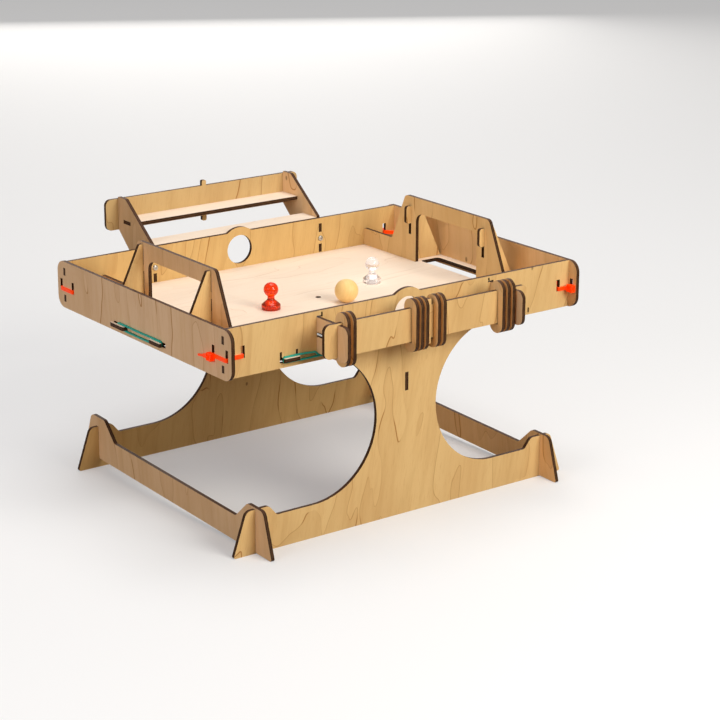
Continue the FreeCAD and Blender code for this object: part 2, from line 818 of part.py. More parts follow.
def front_left_tie():
    """Strap through the corner, its lock and tail on the outer face of the end wall."""
    wall = -half_length - ply
    inner = -half_width + tie_inner_slot
    head = tie_head(wall - tie_head_deep, inner - 2.2, head_low, tie_head_deep, tie_head_long)
    tail = Part.makeBox(tie_thick, tie_tail_long, tie_wide,
                        vec(wall - tie_head_deep + 1.0, inner + 1.5, head_low + 1.6))
    tail.rotate(vec(wall, inner + 1.5, head_low + 1.6), left_to_right, -tie_tail_slope)
    return clean(tie_strap(left_tie_slot).multiFuse([head, tail]))


def front_right_tie():
    """Strap through the corner, its lock in the angle outside the front panel."""
    strap = mirrored(tie_strap(right_tie_slot), left_to_right)
    head = tie_head(half_length - tie_head_deep - fit, -panel_outer - tie_head_long - corner_head_out,
                    head_low + corner_head_lift, tie_head_deep, tie_head_long)
    return clean(strap.fuse(head))


def back_left_tie():
    """Strap through the corner, its lock on the outer face of the back panel."""
    strap = mirrored(tie_strap(left_tie_slot), front_to_back)
    start = half_length - left_tie_slot + tie_thick / 2
    head = tie_head(-start - tie_head_long, panel_outer, head_low, tie_head_long, tie_head_deep)
    return clean(strap.fuse(head))


def back_right_tie():
    """The same at the other back corner."""
    strap = mirrored(mirrored(tie_strap(right_tie_slot), front_to_back), left_to_right)
    start = half_length - right_tie_slot + tie_thick / 2
    head = tie_head(start, panel_outer, head_low, tie_head_long, tie_head_deep)
    return clean(strap.fuse(head))


# Fasteners
def joint_screw(side_u, side_v):
    """Pan-head screw: its head is inside the tray."""
    outward = vec(0, side_v, 0)
    at = vec(side_u * bracket_across, side_v * half_width, bolt_height)
    head = Part.makeCylinder(screw_head_radius, screw_head_height, at, outward * -1)
    rim = [e for e in head.Edges if e.Curve.TypeId == "Part::GeomCircle"
           and abs(abs(e.CenterOfMass.y) - half_width) > screw_head_height / 2]
    head = head.makeFillet(screw_head_height * 0.5, rim)
    shank = Part.makeCylinder(screw_radius, screw_length, at, outward)
    return clean(head.fuse(shank))


def joint_nut(side_u, side_v):
    """Square nut, drawn against the near face of its pocket."""
    middle = side_u * bracket_across
    face = side_v * (panel_outer + nut_setback + nut_thick / 2 - fit) - nut_thick / 2
    half = nut_width / 2
    nut = block(middle - half, middle + half, bolt_height - half, bolt_height + half, along, face, nut_thick)
    return nut.cut(drill(middle, bolt_height, screw_radius + thread_gap, along, face, nut_thick))


# Playing pieces
def pawn(place):
    """Turned figure: drum base, sloping shoulder, neck and ball head; hollow for its magnet."""
    x, y = place
    joint = pawn_head_height - math.sqrt(pawn_head_radius ** 2 - pawn_neck_radius ** 2)
    profile = [
        vec(0, 0, 0), vec(pawn_base_radius, 0, 0), vec(pawn_base_radius, 0, pawn_base_height),
        vec(pawn_neck_radius, 0, pawn_neck_height), vec(pawn_neck_radius, 0, joint + 1),
        vec(0, 0, joint + 1), vec(0, 0, 0),
    ]
    body = Part.Face(Part.makePolygon(profile)).revolve(vec(0, 0, 0), vec(0, 0, 1), 360)
    head = Part.makeSphere(pawn_head_radius, vec(0, 0, pawn_head_height))
    solid = Part.Solid(body) if body.ShapeType != "Solid" else body
    solid = clean(solid.fuse(head)).cut(Part.makeCylinder(magnet_radius, magnet_height))
    solid.translate(vec(x, y, field_top))
    return solid


def magnet(place):
    return Part.makeCylinder(magnet_radius, magnet_height, vec(place[0], place[1], field_top))


def ball():
    return Part.makeSphere(ball_radius, vec(ball_place[0], ball_place[1], field_top + ball_radius))


os.makedirs("parts", exist_ok=True)


def keep(name, shape):
    """Move a piece into the part's frame and write it."""
    if not shape.isValid():
        print("not valid:", name)
    placed = shape.copy()
    placed.translate(vec(0, origin_shift, 0))
    placed.exportStep("parts/" + name + ".step")
    return placed


def keep_pair(name, shape, axis, first, second):
    """Keep a piece and its mirror image."""
    return [keep(name.format(first), shape), keep(name.format(second), mirrored(shape, axis))]


pieces = []
pieces.append(keep("front_panel", front_panel()))
pieces.append(keep("back_panel", back_panel()))
pieces += keep_pair("{}_end_wall", left_end_wall(), left_to_right, "left", "right")
pieces += keep_pair("{}_cross_rail", cross_rail(), left_to_right, "left", "right")
pieces.append(keep("pillar_brace", pillar_brace()))
pieces.append(keep("play_field", play_field()))
pieces += keep_pair("{}_goal_frame", left_goal_frame(), left_to_right, "left", "right")
front_buttress = left_goal_front_buttress()
pieces += keep_pair("{}_goal_front_buttress", front_buttress, left_to_right, "left", "right")
back_buttress = mirrored(front_buttress, front_to_back)
pieces += keep_pair("{}_goal_back_buttress", back_buttress, left_to_right, "left", "right")
pieces.append(keep("score_bar", scoring_bar(bar_bottom, -bar_front)))
pieces += keep_pair("{}_score_bracket", right_score_bracket(), left_to_right, "right", "left")
for number, face in enumerate(ring_faces(), 1):
    pieces.append(keep("score_ring_{:02d}".format(number), score_ring(face)))
pieces.append(keep("tribune_bar", scoring_bar(tribune_bar_bottom, tribune_bar_front)))
pieces += keep_pair("{}_tribune_side", right_tribune_side(), left_to_right, "right", "left")
upper_start = tribune_bar_front - upper_shelf_depth
pieces.append(keep("upper_tribune_shelf", tribune_shelf(
    upper_start, upper_shelf_depth, upper_shelf_top, upper_shelf_tab_start, upper_shelf_tab_length)))
pieces.append(keep("lower_tribune_shelf", tribune_shelf(
    panel_outer, lower_shelf_depth, lower_shelf_top, lower_shelf_tab_start, lower_shelf_tab_length)))
band_off = ply + band_wide + fit
end_band = loop(end_band_path(), across, -half_length - band_off, band_wide, band_thick)
pieces += keep_pair("{}_end_band", end_band, left_to_right, "left", "right")
side_band = loop(side_band_path(-bracket_across), along, -half_width - band_off, band_wide, band_thick)
pieces += keep_pair("front_{}_band", side_band, left_to_right, "left", "right")
pieces += keep_pair("back_{}_band", mirrored(side_band, front_to_back), left_to_right, "left", "right")
pieces.append(keep("front_left_tie", front_left_tie()))
pieces.append(keep("front_right_tie", front_right_tie()))
pieces.append(keep("back_left_tie", back_left_tie()))
pieces.append(keep("back_right_tie", back_right_tie()))
corners = [(side_u, side_v) for side_u in (-1, 1) for side_v in (-1, 1)]
pieces.append(keep("joint_screws", Part.Compound([joint_screw(u, v) for u, v in corners])))
pieces.append(keep("joint_nuts", Part.Compound([joint_nut(u, v) for u, v in corners])))
pieces.append(keep("red_pawn", pawn(red_pawn_place)))
pieces.append(keep("red_pawn_magnet", magnet(red_pawn_place)))
pieces.append(keep("clear_pawn", pawn(clear_pawn_place)))
pieces.append(keep("clear_pawn_magnet", magnet(clear_pawn_place)))
pieces.append(keep("ball", ball()))

whole = Part.Compound(pieces).BoundBox
print("pieces", len(pieces), "origin shift", origin_shift)
print("box x %.2f %.2f  y %.2f %.2f  z %.2f %.2f" % (
    whole.XMin, whole.XMax, whole.YMin, whole.YMax, whole.ZMin, whole.ZMax))
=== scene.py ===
# %% [markdown]
# # A tabletop football table in laser-cut plywood
#
# The real object is a kit: flat pieces of thin birch plywood, cut by a laser, that slot together
# into a raised playing tray. The construction arrives as a finished frame of named pieces, at
# their real size and in metres. This lesson gives the pieces their finish, and models the small
# parts that aren't flat: the rubber bands, cable ties, screws, figures and the ball.

# %% The frame
import math
from collections import namedtuple

import bpy
from mathutils import Matrix, Vector


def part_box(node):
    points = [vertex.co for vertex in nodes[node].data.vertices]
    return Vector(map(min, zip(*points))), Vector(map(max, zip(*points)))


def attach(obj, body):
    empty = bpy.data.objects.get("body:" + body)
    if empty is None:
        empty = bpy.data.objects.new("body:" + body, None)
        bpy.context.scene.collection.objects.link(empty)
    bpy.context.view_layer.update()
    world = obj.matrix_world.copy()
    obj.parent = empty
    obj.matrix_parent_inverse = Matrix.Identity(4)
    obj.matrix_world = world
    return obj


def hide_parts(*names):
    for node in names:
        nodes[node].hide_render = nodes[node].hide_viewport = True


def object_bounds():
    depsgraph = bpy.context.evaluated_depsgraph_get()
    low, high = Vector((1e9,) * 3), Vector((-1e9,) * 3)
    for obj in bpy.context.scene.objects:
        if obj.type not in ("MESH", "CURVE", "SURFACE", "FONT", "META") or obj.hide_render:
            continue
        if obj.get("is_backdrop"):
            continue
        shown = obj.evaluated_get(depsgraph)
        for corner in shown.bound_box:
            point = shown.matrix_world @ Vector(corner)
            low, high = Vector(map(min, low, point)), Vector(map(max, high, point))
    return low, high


MM = 0.001
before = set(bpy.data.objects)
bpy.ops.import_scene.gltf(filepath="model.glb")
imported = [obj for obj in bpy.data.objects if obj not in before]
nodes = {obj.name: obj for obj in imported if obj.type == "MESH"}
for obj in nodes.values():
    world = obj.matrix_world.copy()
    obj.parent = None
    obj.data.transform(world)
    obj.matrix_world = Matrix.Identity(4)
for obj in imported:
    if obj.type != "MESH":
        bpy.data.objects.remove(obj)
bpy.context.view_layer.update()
print("pieces in the frame:", len(nodes))

# %% [markdown]
# ## Camera
#
# The table is seen from its front left corner, from a little above the tray. A long lens keeps
# the far edge of the tray almost as wide as the near one. The camera is placed by its bearing,
# its downward tilt and its distance, with a lean so small that it only levels the far edge.

# %% Camera
CAMERA_PLACE = Vector((-0.9682, -1.3664, 0.6229))
CAMERA_BEARING = math.radians(-36.70)
CAMERA_TILT = math.radians(17.607)
CAMERA_ROLL = 0.004
CAMERA_LENS, CAMERA_SENSOR = 108.70, 36.0


def add_camera():
    """Looks along its bearing, tilted downward, and leans about that line."""
    bpy.ops.object.camera_add(location=CAMERA_PLACE)
    camera = bpy.context.object
    look = Vector((-math.sin(CAMERA_BEARING) * math.cos(CAMERA_TILT),
                   math.cos(CAMERA_BEARING) * math.cos(CAMERA_TILT), -math.sin(CAMERA_TILT)))
    lean = Matrix.Rotation(CAMERA_ROLL, 3, "Z")
    camera.rotation_euler = (look.to_track_quat("-Z", "Y").to_matrix() @ lean).to_euler()
    camera.data.lens = CAMERA_LENS
    camera.data.sensor_width = CAMERA_SENSOR
    bpy.context.scene.camera = camera


add_camera()
print("camera distance from the middle of the base:", round(CAMERA_PLACE.length, 3))

# %% [markdown]
# ## Helpers for finishes
#
# Every finish here is a small tree of shader nodes. Written out, each node takes four or five
# lines, so one helper makes a node, sets what it is told to set and joins its inputs. Others
# stand for the few steps that come back in every finish: arithmetic, a smooth step, one colour
# over another, noise and bump. The last one starts a material.

# %% Node helpers
def set_inputs(tree, node, inputs):
    """Each input gets a value, or the output of another node."""
    for name, value in inputs.items():
        if isinstance(value, bpy.types.NodeSocket):
            tree.links.new(value, node.inputs[name])
        else:
            node.inputs[name].default_value = value


def add(tree, kind, inputs=None, **settings):
    """One shader node, with its settings and inputs."""
    made = tree.nodes.new("ShaderNode" + kind)
    for name, value in settings.items():
        setattr(made, name, value)
    set_inputs(tree, made, inputs or {})
    return made


def sums(tree, operation, first, second=0.0):
    """One step of arithmetic on values that vary over the surface."""
    return add(tree, "Math", {0: first, 1: second}, operation=operation).outputs[0]


def ramp(tree, value, low, high, start=0.0, end=1.0):
    """A value between low and high becomes one between start and end, smoothly at both ends."""
    mapped = add(tree, "MapRange", {"Value": value, "From Min": low, "From Max": high,
                                    "To Min": start, "To Max": end},
                 interpolation_type="SMOOTHSTEP")
    return mapped.outputs["Result"]


def tint(tree, share, colour, over, blend="MIX"):
    """Another colour laid over the one there, by a share that varies over the surface."""
    return add(tree, "MixRGB", {"Fac": share, "Color1": over, "Color2": colour},
               blend_type=blend).outputs["Color"]


# %% Texture helpers
def noise(tree, vector, scale, detail, roughness=0.5, distortion=0.0):
    """Noise from 0 to 1, mostly near 0.5. The scale is in waves per metre."""
    return add(tree, "TexNoise", {"Vector": vector, "Scale": scale, "Detail": detail,
                                  "Roughness": roughness, "Distortion": distortion}
               ).outputs["Fac"]


def bump(tree, height, strength, depth):
    """A normal that follows a height, for relief that is too fine to model."""
    return add(tree, "Bump", {"Height": height, "Strength": strength, "Distance": depth}
               ).outputs["Normal"]


def start_finish(name):
    """A new material: itself, its tree, its shader, and where on its piece a point lies."""
    finish = bpy.data.materials.new(name)
    finish.use_nodes = True
    tree = finish.node_tree
    return finish, tree, tree.nodes["Principled BSDF"], add(tree, "TexCoord").outputs["Object"]


# %% [markdown]
# ## Floor and light
#
# A pale floor and large soft lamps are enough to judge a finish. The floor is one big plane, so
# that no edge shows. A white floor would light the table from below and take the depth out of
# the space under the tray, so the floor is pale to the camera, glass and metal, and darker in
# the light that it throws back. Four lamps do the work: a wide one overhead, a warm one at the
# front that lights the long walls, a low one at the left for the short walls and for what is
# under the tray, and a weak one behind, so that the table shows from there too. The world adds
# a little light from all sides, and is bright only where the camera looks at it.

# %% Floor
FLOOR_SIZE = 60.0
FLOOR_COLOUR = (0.62, 0.63, 0.65, 1)
FLOOR_BOUNCE = (0.16, 0.088, 0.045, 1)
FLOOR_GLOW = 0.38
FLOOR_ROUGHNESS = 0.9


def seen_directly(tree, kinds):
    """1 for the kinds of ray that show a surface itself, 0 for light that it only throws back."""
    rays = add(tree, "LightPath").outputs
    seen = rays[kinds[0]]
    for kind in kinds[1:]:
        seen = sums(tree, "MAXIMUM", seen, rays[kind])
    return seen


def add_floor():
    """One plane, which looks paler than the light that it throws back."""
    bpy.ops.mesh.primitive_plane_add(size=FLOOR_SIZE, location=(0, 0, 0))
    floor = bpy.context.object
    floor.name = "floor"
    finish, tree, shader, _ = start_finish("pale_floor")
    seen = seen_directly(tree, ("Is Camera Ray", "Is Glossy Ray", "Is Transmission Ray"))
    set_inputs(tree, shader, {"Base Color": tint(tree, seen, FLOOR_COLOUR, FLOOR_BOUNCE),
                              "Emission Color": FLOOR_COLOUR,
                              "Emission Strength": sums(tree, "MULTIPLY", seen, FLOOR_GLOW),
                              "Roughness": FLOOR_ROUGHNESS})
    floor.data.materials.append(finish)
    floor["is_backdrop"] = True


add_floor()
print("floor, in metres across:", FLOOR_SIZE)

# %% Lamps
LAMPS = (
    # name, place, size, power, colour
    ("overhead", (0.3, 0.15, 2.4), 1.6, 27.5, (1.0, 0.98, 0.96)),
    ("front", (0.27, -1.26, 0.80), 0.72, 14.7, (1.0, 0.94, 0.84)),
    ("left_fill", (-2.0, -0.45, 0.62), 1.2, 14.5, (1.0, 0.96, 0.97)),
    ("back_fill", (1.1, 1.9, 0.75), 1.4, 11.0, (1.0, 0.95, 0.88)),
)
LAMP_TARGET = Vector((0, 0, 0.12))


def add_lamp(name, place, size, power, colour):
    """A square lamp that points at the middle of the table."""
    bpy.ops.object.light_add(type="AREA", location=place)
    lamp = bpy.context.object
    lamp.name = name
    lamp.data.size = size
    lamp.data.energy = power
    lamp.data.color = colour
    lamp.rotation_euler = (LAMP_TARGET - Vector(place)).to_track_quat("-Z", "Y").to_euler()


for lamp in LAMPS:
    add_lamp(*lamp)
print("lamps:", len(LAMPS))

# %% World
WORLD_COLOUR = (0.95, 0.89, 0.81, 1)
WORLD_LIGHT, WORLD_SEEN = 0.30, 0.95


def make_world():
    """Weak light from all sides, from a world that looks bright."""
    world = bpy.data.worlds.new("studio")
    world.use_nodes = True
    tree = world.node_tree
    seen = seen_directly(tree, ("Is Camera Ray", "Is Transmission Ray"))
    strength = add(tree, "MapRange", {"Value": seen, "To Min": WORLD_LIGHT,
                                      "To Max": WORLD_SEEN}).outputs["Result"]
    set_inputs(tree, tree.nodes["Background"], {"Color": WORLD_COLOUR, "Strength": strength})
    return world


scene = bpy.context.scene
scene.view_settings.view_transform = "Standard"
scene.world = make_world()
print("world light:", WORLD_LIGHT)

# %% [markdown]
# ## Birch plywood
#
# The sheet is three layers of rotary-cut birch, 3 mm in all. Its face shows five things at five
# scales: broad patches a little redder or paler, soft streaks along the grain, fine pores like
# short pencil strokes, the thin red-brown growth lines of the log, and small dark flecks and
# knots. An image texture would repeat from plate to plate. Noise that is stretched along the
# grain doesn't, and one seed per plate makes each plate its own piece.
#
# The laser burns every cut, so a plate's edges are dark brown. A face and an edge differ in
# where they point: the material compares the surface's normal with the plate's thickness.

# %% How the plates lie
SHEET = 3.0
PLY = SHEET * MM
RINGS = tuple("score_ring_%02d" % number for number in range(1, 11))
# axis of the thickness, axis of the grain, lean of the grain
LIES = {
    "flat": (2, 0, (0.0, 0.0, 0.03)),
    "along": (1, 2, (0.0, 0.15, 0.0)),
    "across": (0, 2, (-0.10, 0.0, 0.0)),
}
PLATES = {
    "flat": ("play_field", "upper_tribune_shelf", "lower_tribune_shelf"),
    "along": ("front_panel", "back_panel", "score_bar", "tribune_bar",
              "left_goal_front_buttress", "left_goal_back_buttress",
              "right_goal_front_buttress", "right_goal_back_buttress"),
    "across": ("left_end_wall", "right_end_wall", "left_cross_rail", "right_cross_rail",
               "pillar_brace", "left_goal_frame", "right_goal_frame",
               "left_score_bracket", "right_score_bracket",
               "left_tribune_side", "right_tribune_side") + RINGS,
}
print("plates:", sum(len(group) for group in PLATES.values()))

# %% Colours of the sheet
# one sheet, coloured by how a plate lies: flat plates are paler, a painted highlight of the light
# from above, and plates across the table are pinker, painted shade of the side light
FACE_COLOUR_WITH_PAINTED_LIGHT = {
    "flat": (0.94, 0.80, 0.67, 1),
    "along": (0.80, 0.565, 0.26, 1),
    "across": (0.78, 0.53, 0.30, 1),
}
STREAK_COLOUR = (0.62, 0.36, 0.14, 1)
GROWTH_COLOUR = (0.42, 0.19, 0.05, 1)
FLECK_COLOUR = (0.13, 0.06, 0.022, 1)
# how much paler, darker or redder some plates are than the rest of the sheet: partly a tone of
# their own, partly painted shade on plates that stand in shade and painted light on lit ones
NO_TONE = (1.0, 1.0, 1.0, 1)
PLATE_TONE_AND_PAINTED_LIGHT = {
    "back_panel": (0.86, 0.82, 0.74, 1),
    "tribune_bar": (0.80, 0.80, 0.82, 1),
    "left_tribune_side": (0.80, 0.80, 0.80, 1),
    "left_end_wall": (1.02, 1.08, 1.22, 1),
    "right_end_wall": (1.00, 0.97, 0.86, 1),
    "left_goal_frame": (0.92, 0.90, 0.88, 1),
    "right_goal_frame": (0.94, 0.93, 0.76, 1),
    "left_cross_rail": (0.92, 0.93, 0.96, 1),
    "right_cross_rail": (1.10, 1.02, 0.84, 1),
    **dict.fromkeys(RINGS, (1.08, 1.07, 0.95, 1)),
}
print("plates with a tone of their own:", len(PLATE_TONE_AND_PAINTED_LIGHT))

# %% [markdown]
# ## Grain
#
# Noise is the same in every direction, and wood isn't. A Mapping node of the Texture kind
# stretches all that is drawn after it along the grain: fibres to many times their width,
# patches only to a few times. Patches, streaks and pores are laid over the sheet's colour one
# after the other, and the streaks and pores also give the height of the fibres.

# %% Drawing along the grain
GRAIN_STRENGTH = {"flat": 0.22, "along": 1.0, "across": 1.0}
# what a pattern is drawn on: its nodes, where a point is, how the plate lies, its seed's offset
Board = namedtuple("Board", "tree place lie offset")


def drawn_out(board, length, step=(0.0, 0.0, 0.0)):
    """The place on a board, or one step beside it, for a pattern drawn out along the grain."""
    grain_axis, lean = LIES[board.lie][1:]
    scale = [length if axis == grain_axis else 1.0 for axis in range(3)]
    moved = [board.offset[axis] + step[axis] for axis in range(3)]
    return add(board.tree, "Mapping", {"Vector": board.place, "Location": moved,
                                       "Rotation": lean, "Scale": scale},
               vector_type="TEXTURE").outputs["Vector"]


def laid_over(board, value, low, high, strength, paint, under):
    """A paint over a board's colour: none of it where the value is low, most where it is high."""
    share = ramp(board.tree, value, low, high, 0.0, strength * GRAIN_STRENGTH[board.lie])
    return tint(board.tree, share, paint, under)


# %% Patches, streaks and pores
FIBRE_LENGTH, PATCH_LENGTH = 14.0, 3.0
# waves per metre, detail, roughness
PATCHES, STREAKS, PORES = (14.0, 2.0, 0.5), (190.0, 3.0, 0.6), (1500.0, 1.0, 0.5)
# the noise where they start, the noise where they are full, strength
PATCHES_SHOW = (0.35, 0.70, 0.24)
STREAKS_SHOW = (0.42, 0.72, 0.26)
PORES_SHOW = (0.56, 0.74, 0.30)
PORE_DEPTH = 0.6                     # a fibre stands 1 high


def fibres(board, colour):
    """Patches, streaks and pores over a colour, and how high the fibres stand."""
    tree = board.tree
    patches = noise(tree, drawn_out(board, PATCH_LENGTH), *PATCHES)
    along = drawn_out(board, FIBRE_LENGTH)
    streaks, pores = noise(tree, along, *STREAKS), noise(tree, along, *PORES)
    for value, shows in ((patches, PATCHES_SHOW), (streaks, STREAKS_SHOW), (pores, PORES_SHOW)):
        colour = laid_over(board, value, *shows, STREAK_COLOUR, colour)
    return colour, sums(tree, "SUBTRACT", streaks, sums(tree, "MULTIPLY", pores, PORE_DEPTH))


# %% [markdown]
# ## Growth lines
#
# A log gets a new layer each year. The knife that peels it cuts through the layers at a slant,
# so each comes to the face as a contour, like those on a map of hills. Here noise gives the age
# of the wood at each point, and a line runs wherever a whole year is over. A line drawn from the
# age alone swells where the age hardly changes. So the material also asks for the age one small
# step beside the point, finds how steeply it rises, and works out how far off the nearest line
# is: then every line has the same width. Some patches show the lines faintly and a few boldly.

# %% Growth lines
GROWTH_LENGTH, YEARS = 3.4, 8.0
GROWTH = (18.0, 2.5, 0.5, 0.25)      # waves per metre, detail, roughness, distortion
GROWTH_STEP = 0.25 * MM
LEAST_RISE = 0.0002                  # years per step, so that nothing is divided by zero
LATE_WOOD_SHOWS = (0.35, 1.0, 0.13)  # part of a year where it starts, where full, strength
LINES = (
    # waves per metre, the noise where they start and where they are full,
    # half a line's width where it has faded and where it is full, strength
    (34.0, 0.36, 0.60, 0.5 * MM, 0.1 * MM, 0.50),
    (47.0, 0.53, 0.63, 0.8 * MM, 0.3 * MM, 0.80),
)


def from_half(tree, value):
    """How far a value between 0 and 1 is from one half."""
    return sums(tree, "ABSOLUTE", sums(tree, "SUBTRACT", value, 0.5))


def age(board, step_axis=None):
    """Age of the wood in years, at a point or one step beside it."""
    step = [GROWTH_STEP if axis == step_axis else 0.0 for axis in range(3)]
    wavy = noise(board.tree, drawn_out(board, GROWTH_LENGTH, step), *GROWTH)
    return sums(board.tree, "MULTIPLY", wavy, YEARS)


def growth_lines(board, colour):
    """The darker late wood of each year over a colour, and the lines where a year is over."""
    tree = board.tree
    thickness_axis = LIES[board.lie][0]
    years = age(board)
    rises = [sums(tree, "SUBTRACT", age(board, axis), years)
             for axis in range(3) if axis != thickness_axis]
    squares = [sums(tree, "POWER", rise, 2.0) for rise in rises]
    steepness = sums(tree, "SQRT", sums(tree, "ADD", *squares))
    season = sums(tree, "FRACT", years)
    to_line = sums(tree, "SUBTRACT", 0.5, from_half(tree, season))
    reach = sums(tree, "DIVIDE", sums(tree, "MULTIPLY", to_line, GROWTH_STEP),
                 sums(tree, "MAXIMUM", steepness, LEAST_RISE))
    colour = laid_over(board, season, *LATE_WOOD_SHOWS, GROWTH_COLOUR, colour)
    figure = drawn_out(board, PATCH_LENGTH)
    for scale, low, high, faded, full, strength in LINES:
        shown = ramp(tree, noise(tree, figure, scale, 1.0), low, high)
        line = sums(tree, "MULTIPLY", ramp(tree, reach, faded, full), shown)
        colour = laid_over(board, line, 0.0, 1.0, strength, GROWTH_COLOUR, colour)
    return colour


# %% [markdown]
# ## Flecks and knots
#
# Small marks that stand apart are made of cells, not of noise. A Voronoi texture cuts the face
# into cells. The random colour of each cell says whether it has a mark and how large it is, and
# the distance from its middle draws the mark. Long cells give flecks and round ones pin knots.

# %% Flecks and knots
MARKS = (
    # cells per metre, length, share of the cells, radius in cells, colour, strength
    (70.0, 14.0, 0.45, 0.060, GROWTH_COLOUR, 0.80),
    (40.0, 8.0, 0.30, 0.035, FLECK_COLOUR, 0.80),
    (34.0, 1.5, 0.24, 0.070, FLECK_COLOUR, 0.65),
)
SMALLEST_MARK = 0.5                  # of the largest
MARK_CORE = 0.35                     # part of a mark that has its full colour
CHANCE_STEP = 0.02


def flecks(board, colour):
    """Small dark marks over a colour."""
    tree = board.tree
    for scale, length, chance, radius, paint, strength in MARKS:
        cells = add(tree, "TexVoronoi", {"Vector": drawn_out(board, length), "Scale": scale})
        pick = add(tree, "SeparateColor", {"Color": cells.outputs["Color"]}).outputs
        size = ramp(tree, pick["Green"], 0.0, 1.0, SMALLEST_MARK, 1.0)
        near = sums(tree, "DIVIDE", cells.outputs["Distance"],
                    sums(tree, "MULTIPLY", size, radius))
        chosen = ramp(tree, pick["Red"], 1.0 - chance, 1.0 - chance + CHANCE_STEP)
        mark = sums(tree, "MULTIPLY", ramp(tree, near, 1.0, MARK_CORE), chosen)
        colour = laid_over(board, mark, 0.0, 1.0, strength, paint, colour)
    return colour


# %% [markdown]
# ## Burnt edge
#
# Seen edge-on, the sheet is char over three layers, the middle one a little lighter, with two
# dark lines of glue between them. All of it follows from how deep in the sheet a point lies.
# The edges that look up are paler: a painted sheen of the light from above.

# %% Burnt edge
CHAR_COLOUR = (0.034, 0.0145, 0.006, 1)
CHAR_LIGHT = (0.100, 0.048, 0.022, 1)
CHAR_PAINTED_SHEEN = (0.105, 0.055, 0.038, 1)
GLUE_COLOUR = (0.004, 0.002, 0.001, 1)
LAYERS = 3.0
SOOT = (260.0, 3.0)                  # waves per metre, detail
SOOT_SHOWS = (0.40, 0.68, 0.0, 0.6)
CORE_BORDER, CORE_SHARE = (0.17, 0.12), 0.6
GLUE_SHOWS = (0.36, 0.5, 0.0, 0.8)
PAINTED_SHEEN_SHOWS = (0.5, 1.0, 0.0, 0.65)


def burnt_edge(tree, place, axis, low_face, upward):
    """Colour of a laser-cut edge: char, layers, glue lines, painted sheen where it looks up."""
    parts = add(tree, "SeparateXYZ", {"Vector": place}).outputs
    depth = sums(tree, "DIVIDE", sums(tree, "SUBTRACT", parts[axis], low_face), PLY)
    in_layer = sums(tree, "FRACT", sums(tree, "MULTIPLY", depth, LAYERS))
    core = sums(tree, "MULTIPLY", ramp(tree, from_half(tree, depth), *CORE_BORDER), CORE_SHARE)
    soot = ramp(tree, noise(tree, place, *SOOT), *SOOT_SHOWS)
    colour = tint(tree, soot, CHAR_LIGHT, CHAR_COLOUR)
    colour = tint(tree, core, CHAR_LIGHT, colour)
    glue = ramp(tree, from_half(tree, in_layer), *GLUE_SHOWS)
    colour = tint(tree, glue, GLUE_COLOUR, colour)
    # a painted sheen of the light from above, on edges that look up
    return tint(tree, ramp(tree, upward, *PAINTED_SHEEN_SHOWS), CHAR_PAINTED_SHEEN, colour)


# %% The plywood finish
FACE_ROUGHNESS, EDGE_ROUGHNESS = 0.60, 0.50
WOOD_SHINE = 0.08
FIBRE_RELIEF = (0.5, 0.05 * MM)      # strength, height
SEED_MOVES = (0.37, -0.53, 0.71)
FACE_NORMAL = 0.7                    # below this along the thickness, the surface is an edge


def plywood(name, lie, seed):
    """Finish of one plate. The seed moves the pattern, so no two plates are cut from one place."""
    finish, tree, shader, place = start_finish("plywood_" + name)
    axis = LIES[lie][0]
    low_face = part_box(name)[0][axis]
    board = Board(tree, place, lie, [move * seed for move in SEED_MOVES])
    # the sheet's colour for how the plate lies, with painted light on flat plates and painted shade
    # on plates across
    colour, height = fibres(board, FACE_COLOUR_WITH_PAINTED_LIGHT[lie])
    colour = flecks(board, growth_lines(board, colour))
    # each plate's own tone, with painted shade on shaded plates and painted light on lit ones
    colour = tint(tree, 1.0, PLATE_TONE_AND_PAINTED_LIGHT.get(name, NO_TONE), colour, "MULTIPLY")
    normal = add(tree, "NewGeometry").outputs["True Normal"]
    facing = add(tree, "SeparateXYZ", {"Vector": normal}).outputs
    edge = sums(tree, "LESS_THAN", sums(tree, "ABSOLUTE", facing[axis]), FACE_NORMAL)
    colour = tint(tree, edge, burnt_edge(tree, place, axis, low_face, facing["Z"]), colour)
    rough = add(tree, "MapRange", {"Value": edge, "To Min": FACE_ROUGHNESS,
                                   "To Max": EDGE_ROUGHNESS}).outputs["Result"]
    set_inputs(tree, shader, {"Base Color": colour, "Roughness": rough,
                              "Specular IOR Level": WOOD_SHINE,
                              "Normal": bump(tree, height, *FIBRE_RELIEF)})
    return finish


def dress(name, finish):
    """Gives a piece of the frame one finish all over."""
    piece = nodes[name]
    piece.data.materials.clear()
    piece.data.materials.append(finish)


seed = 0
for lie, names in PLATES.items():
    for name in names:
        seed += 1
        dress(name, plywood(name, lie, seed))
print("plates with a plywood finish:", seed)

# %% [markdown]
# ## Finishes of the small parts
#
# Rubber, nylon, wood and metal differ more in how they shine than in colour. The rubber bands
# are satin with a bloom of dust. The ties are nylon with a moulded skin, and a painted glow
# stands in for the light that comes through them.
# The screws are zinc plated, the magnets nickel plated and brighter. One figure is clear acrylic
# and the other the same in red, so both get their look from light that passes through them.

# %% Rubber
MOST_NOISE = (0.3, 0.7)              # noise seldom leaves these bounds
RUBBER_COLOUR, RUBBER_WORN = (0.0, 0.38, 0.30, 1), (0.02, 0.50, 0.45, 1)
BLOOM, BLOOM_SHOWS = (420.0, 4.0), (0.45, 0.72, 0.0, 0.35)
BLOOM_RELIEF = (0.4, 0.05 * MM)
RUBBER_ROUGHNESS = (0.42, 0.60)


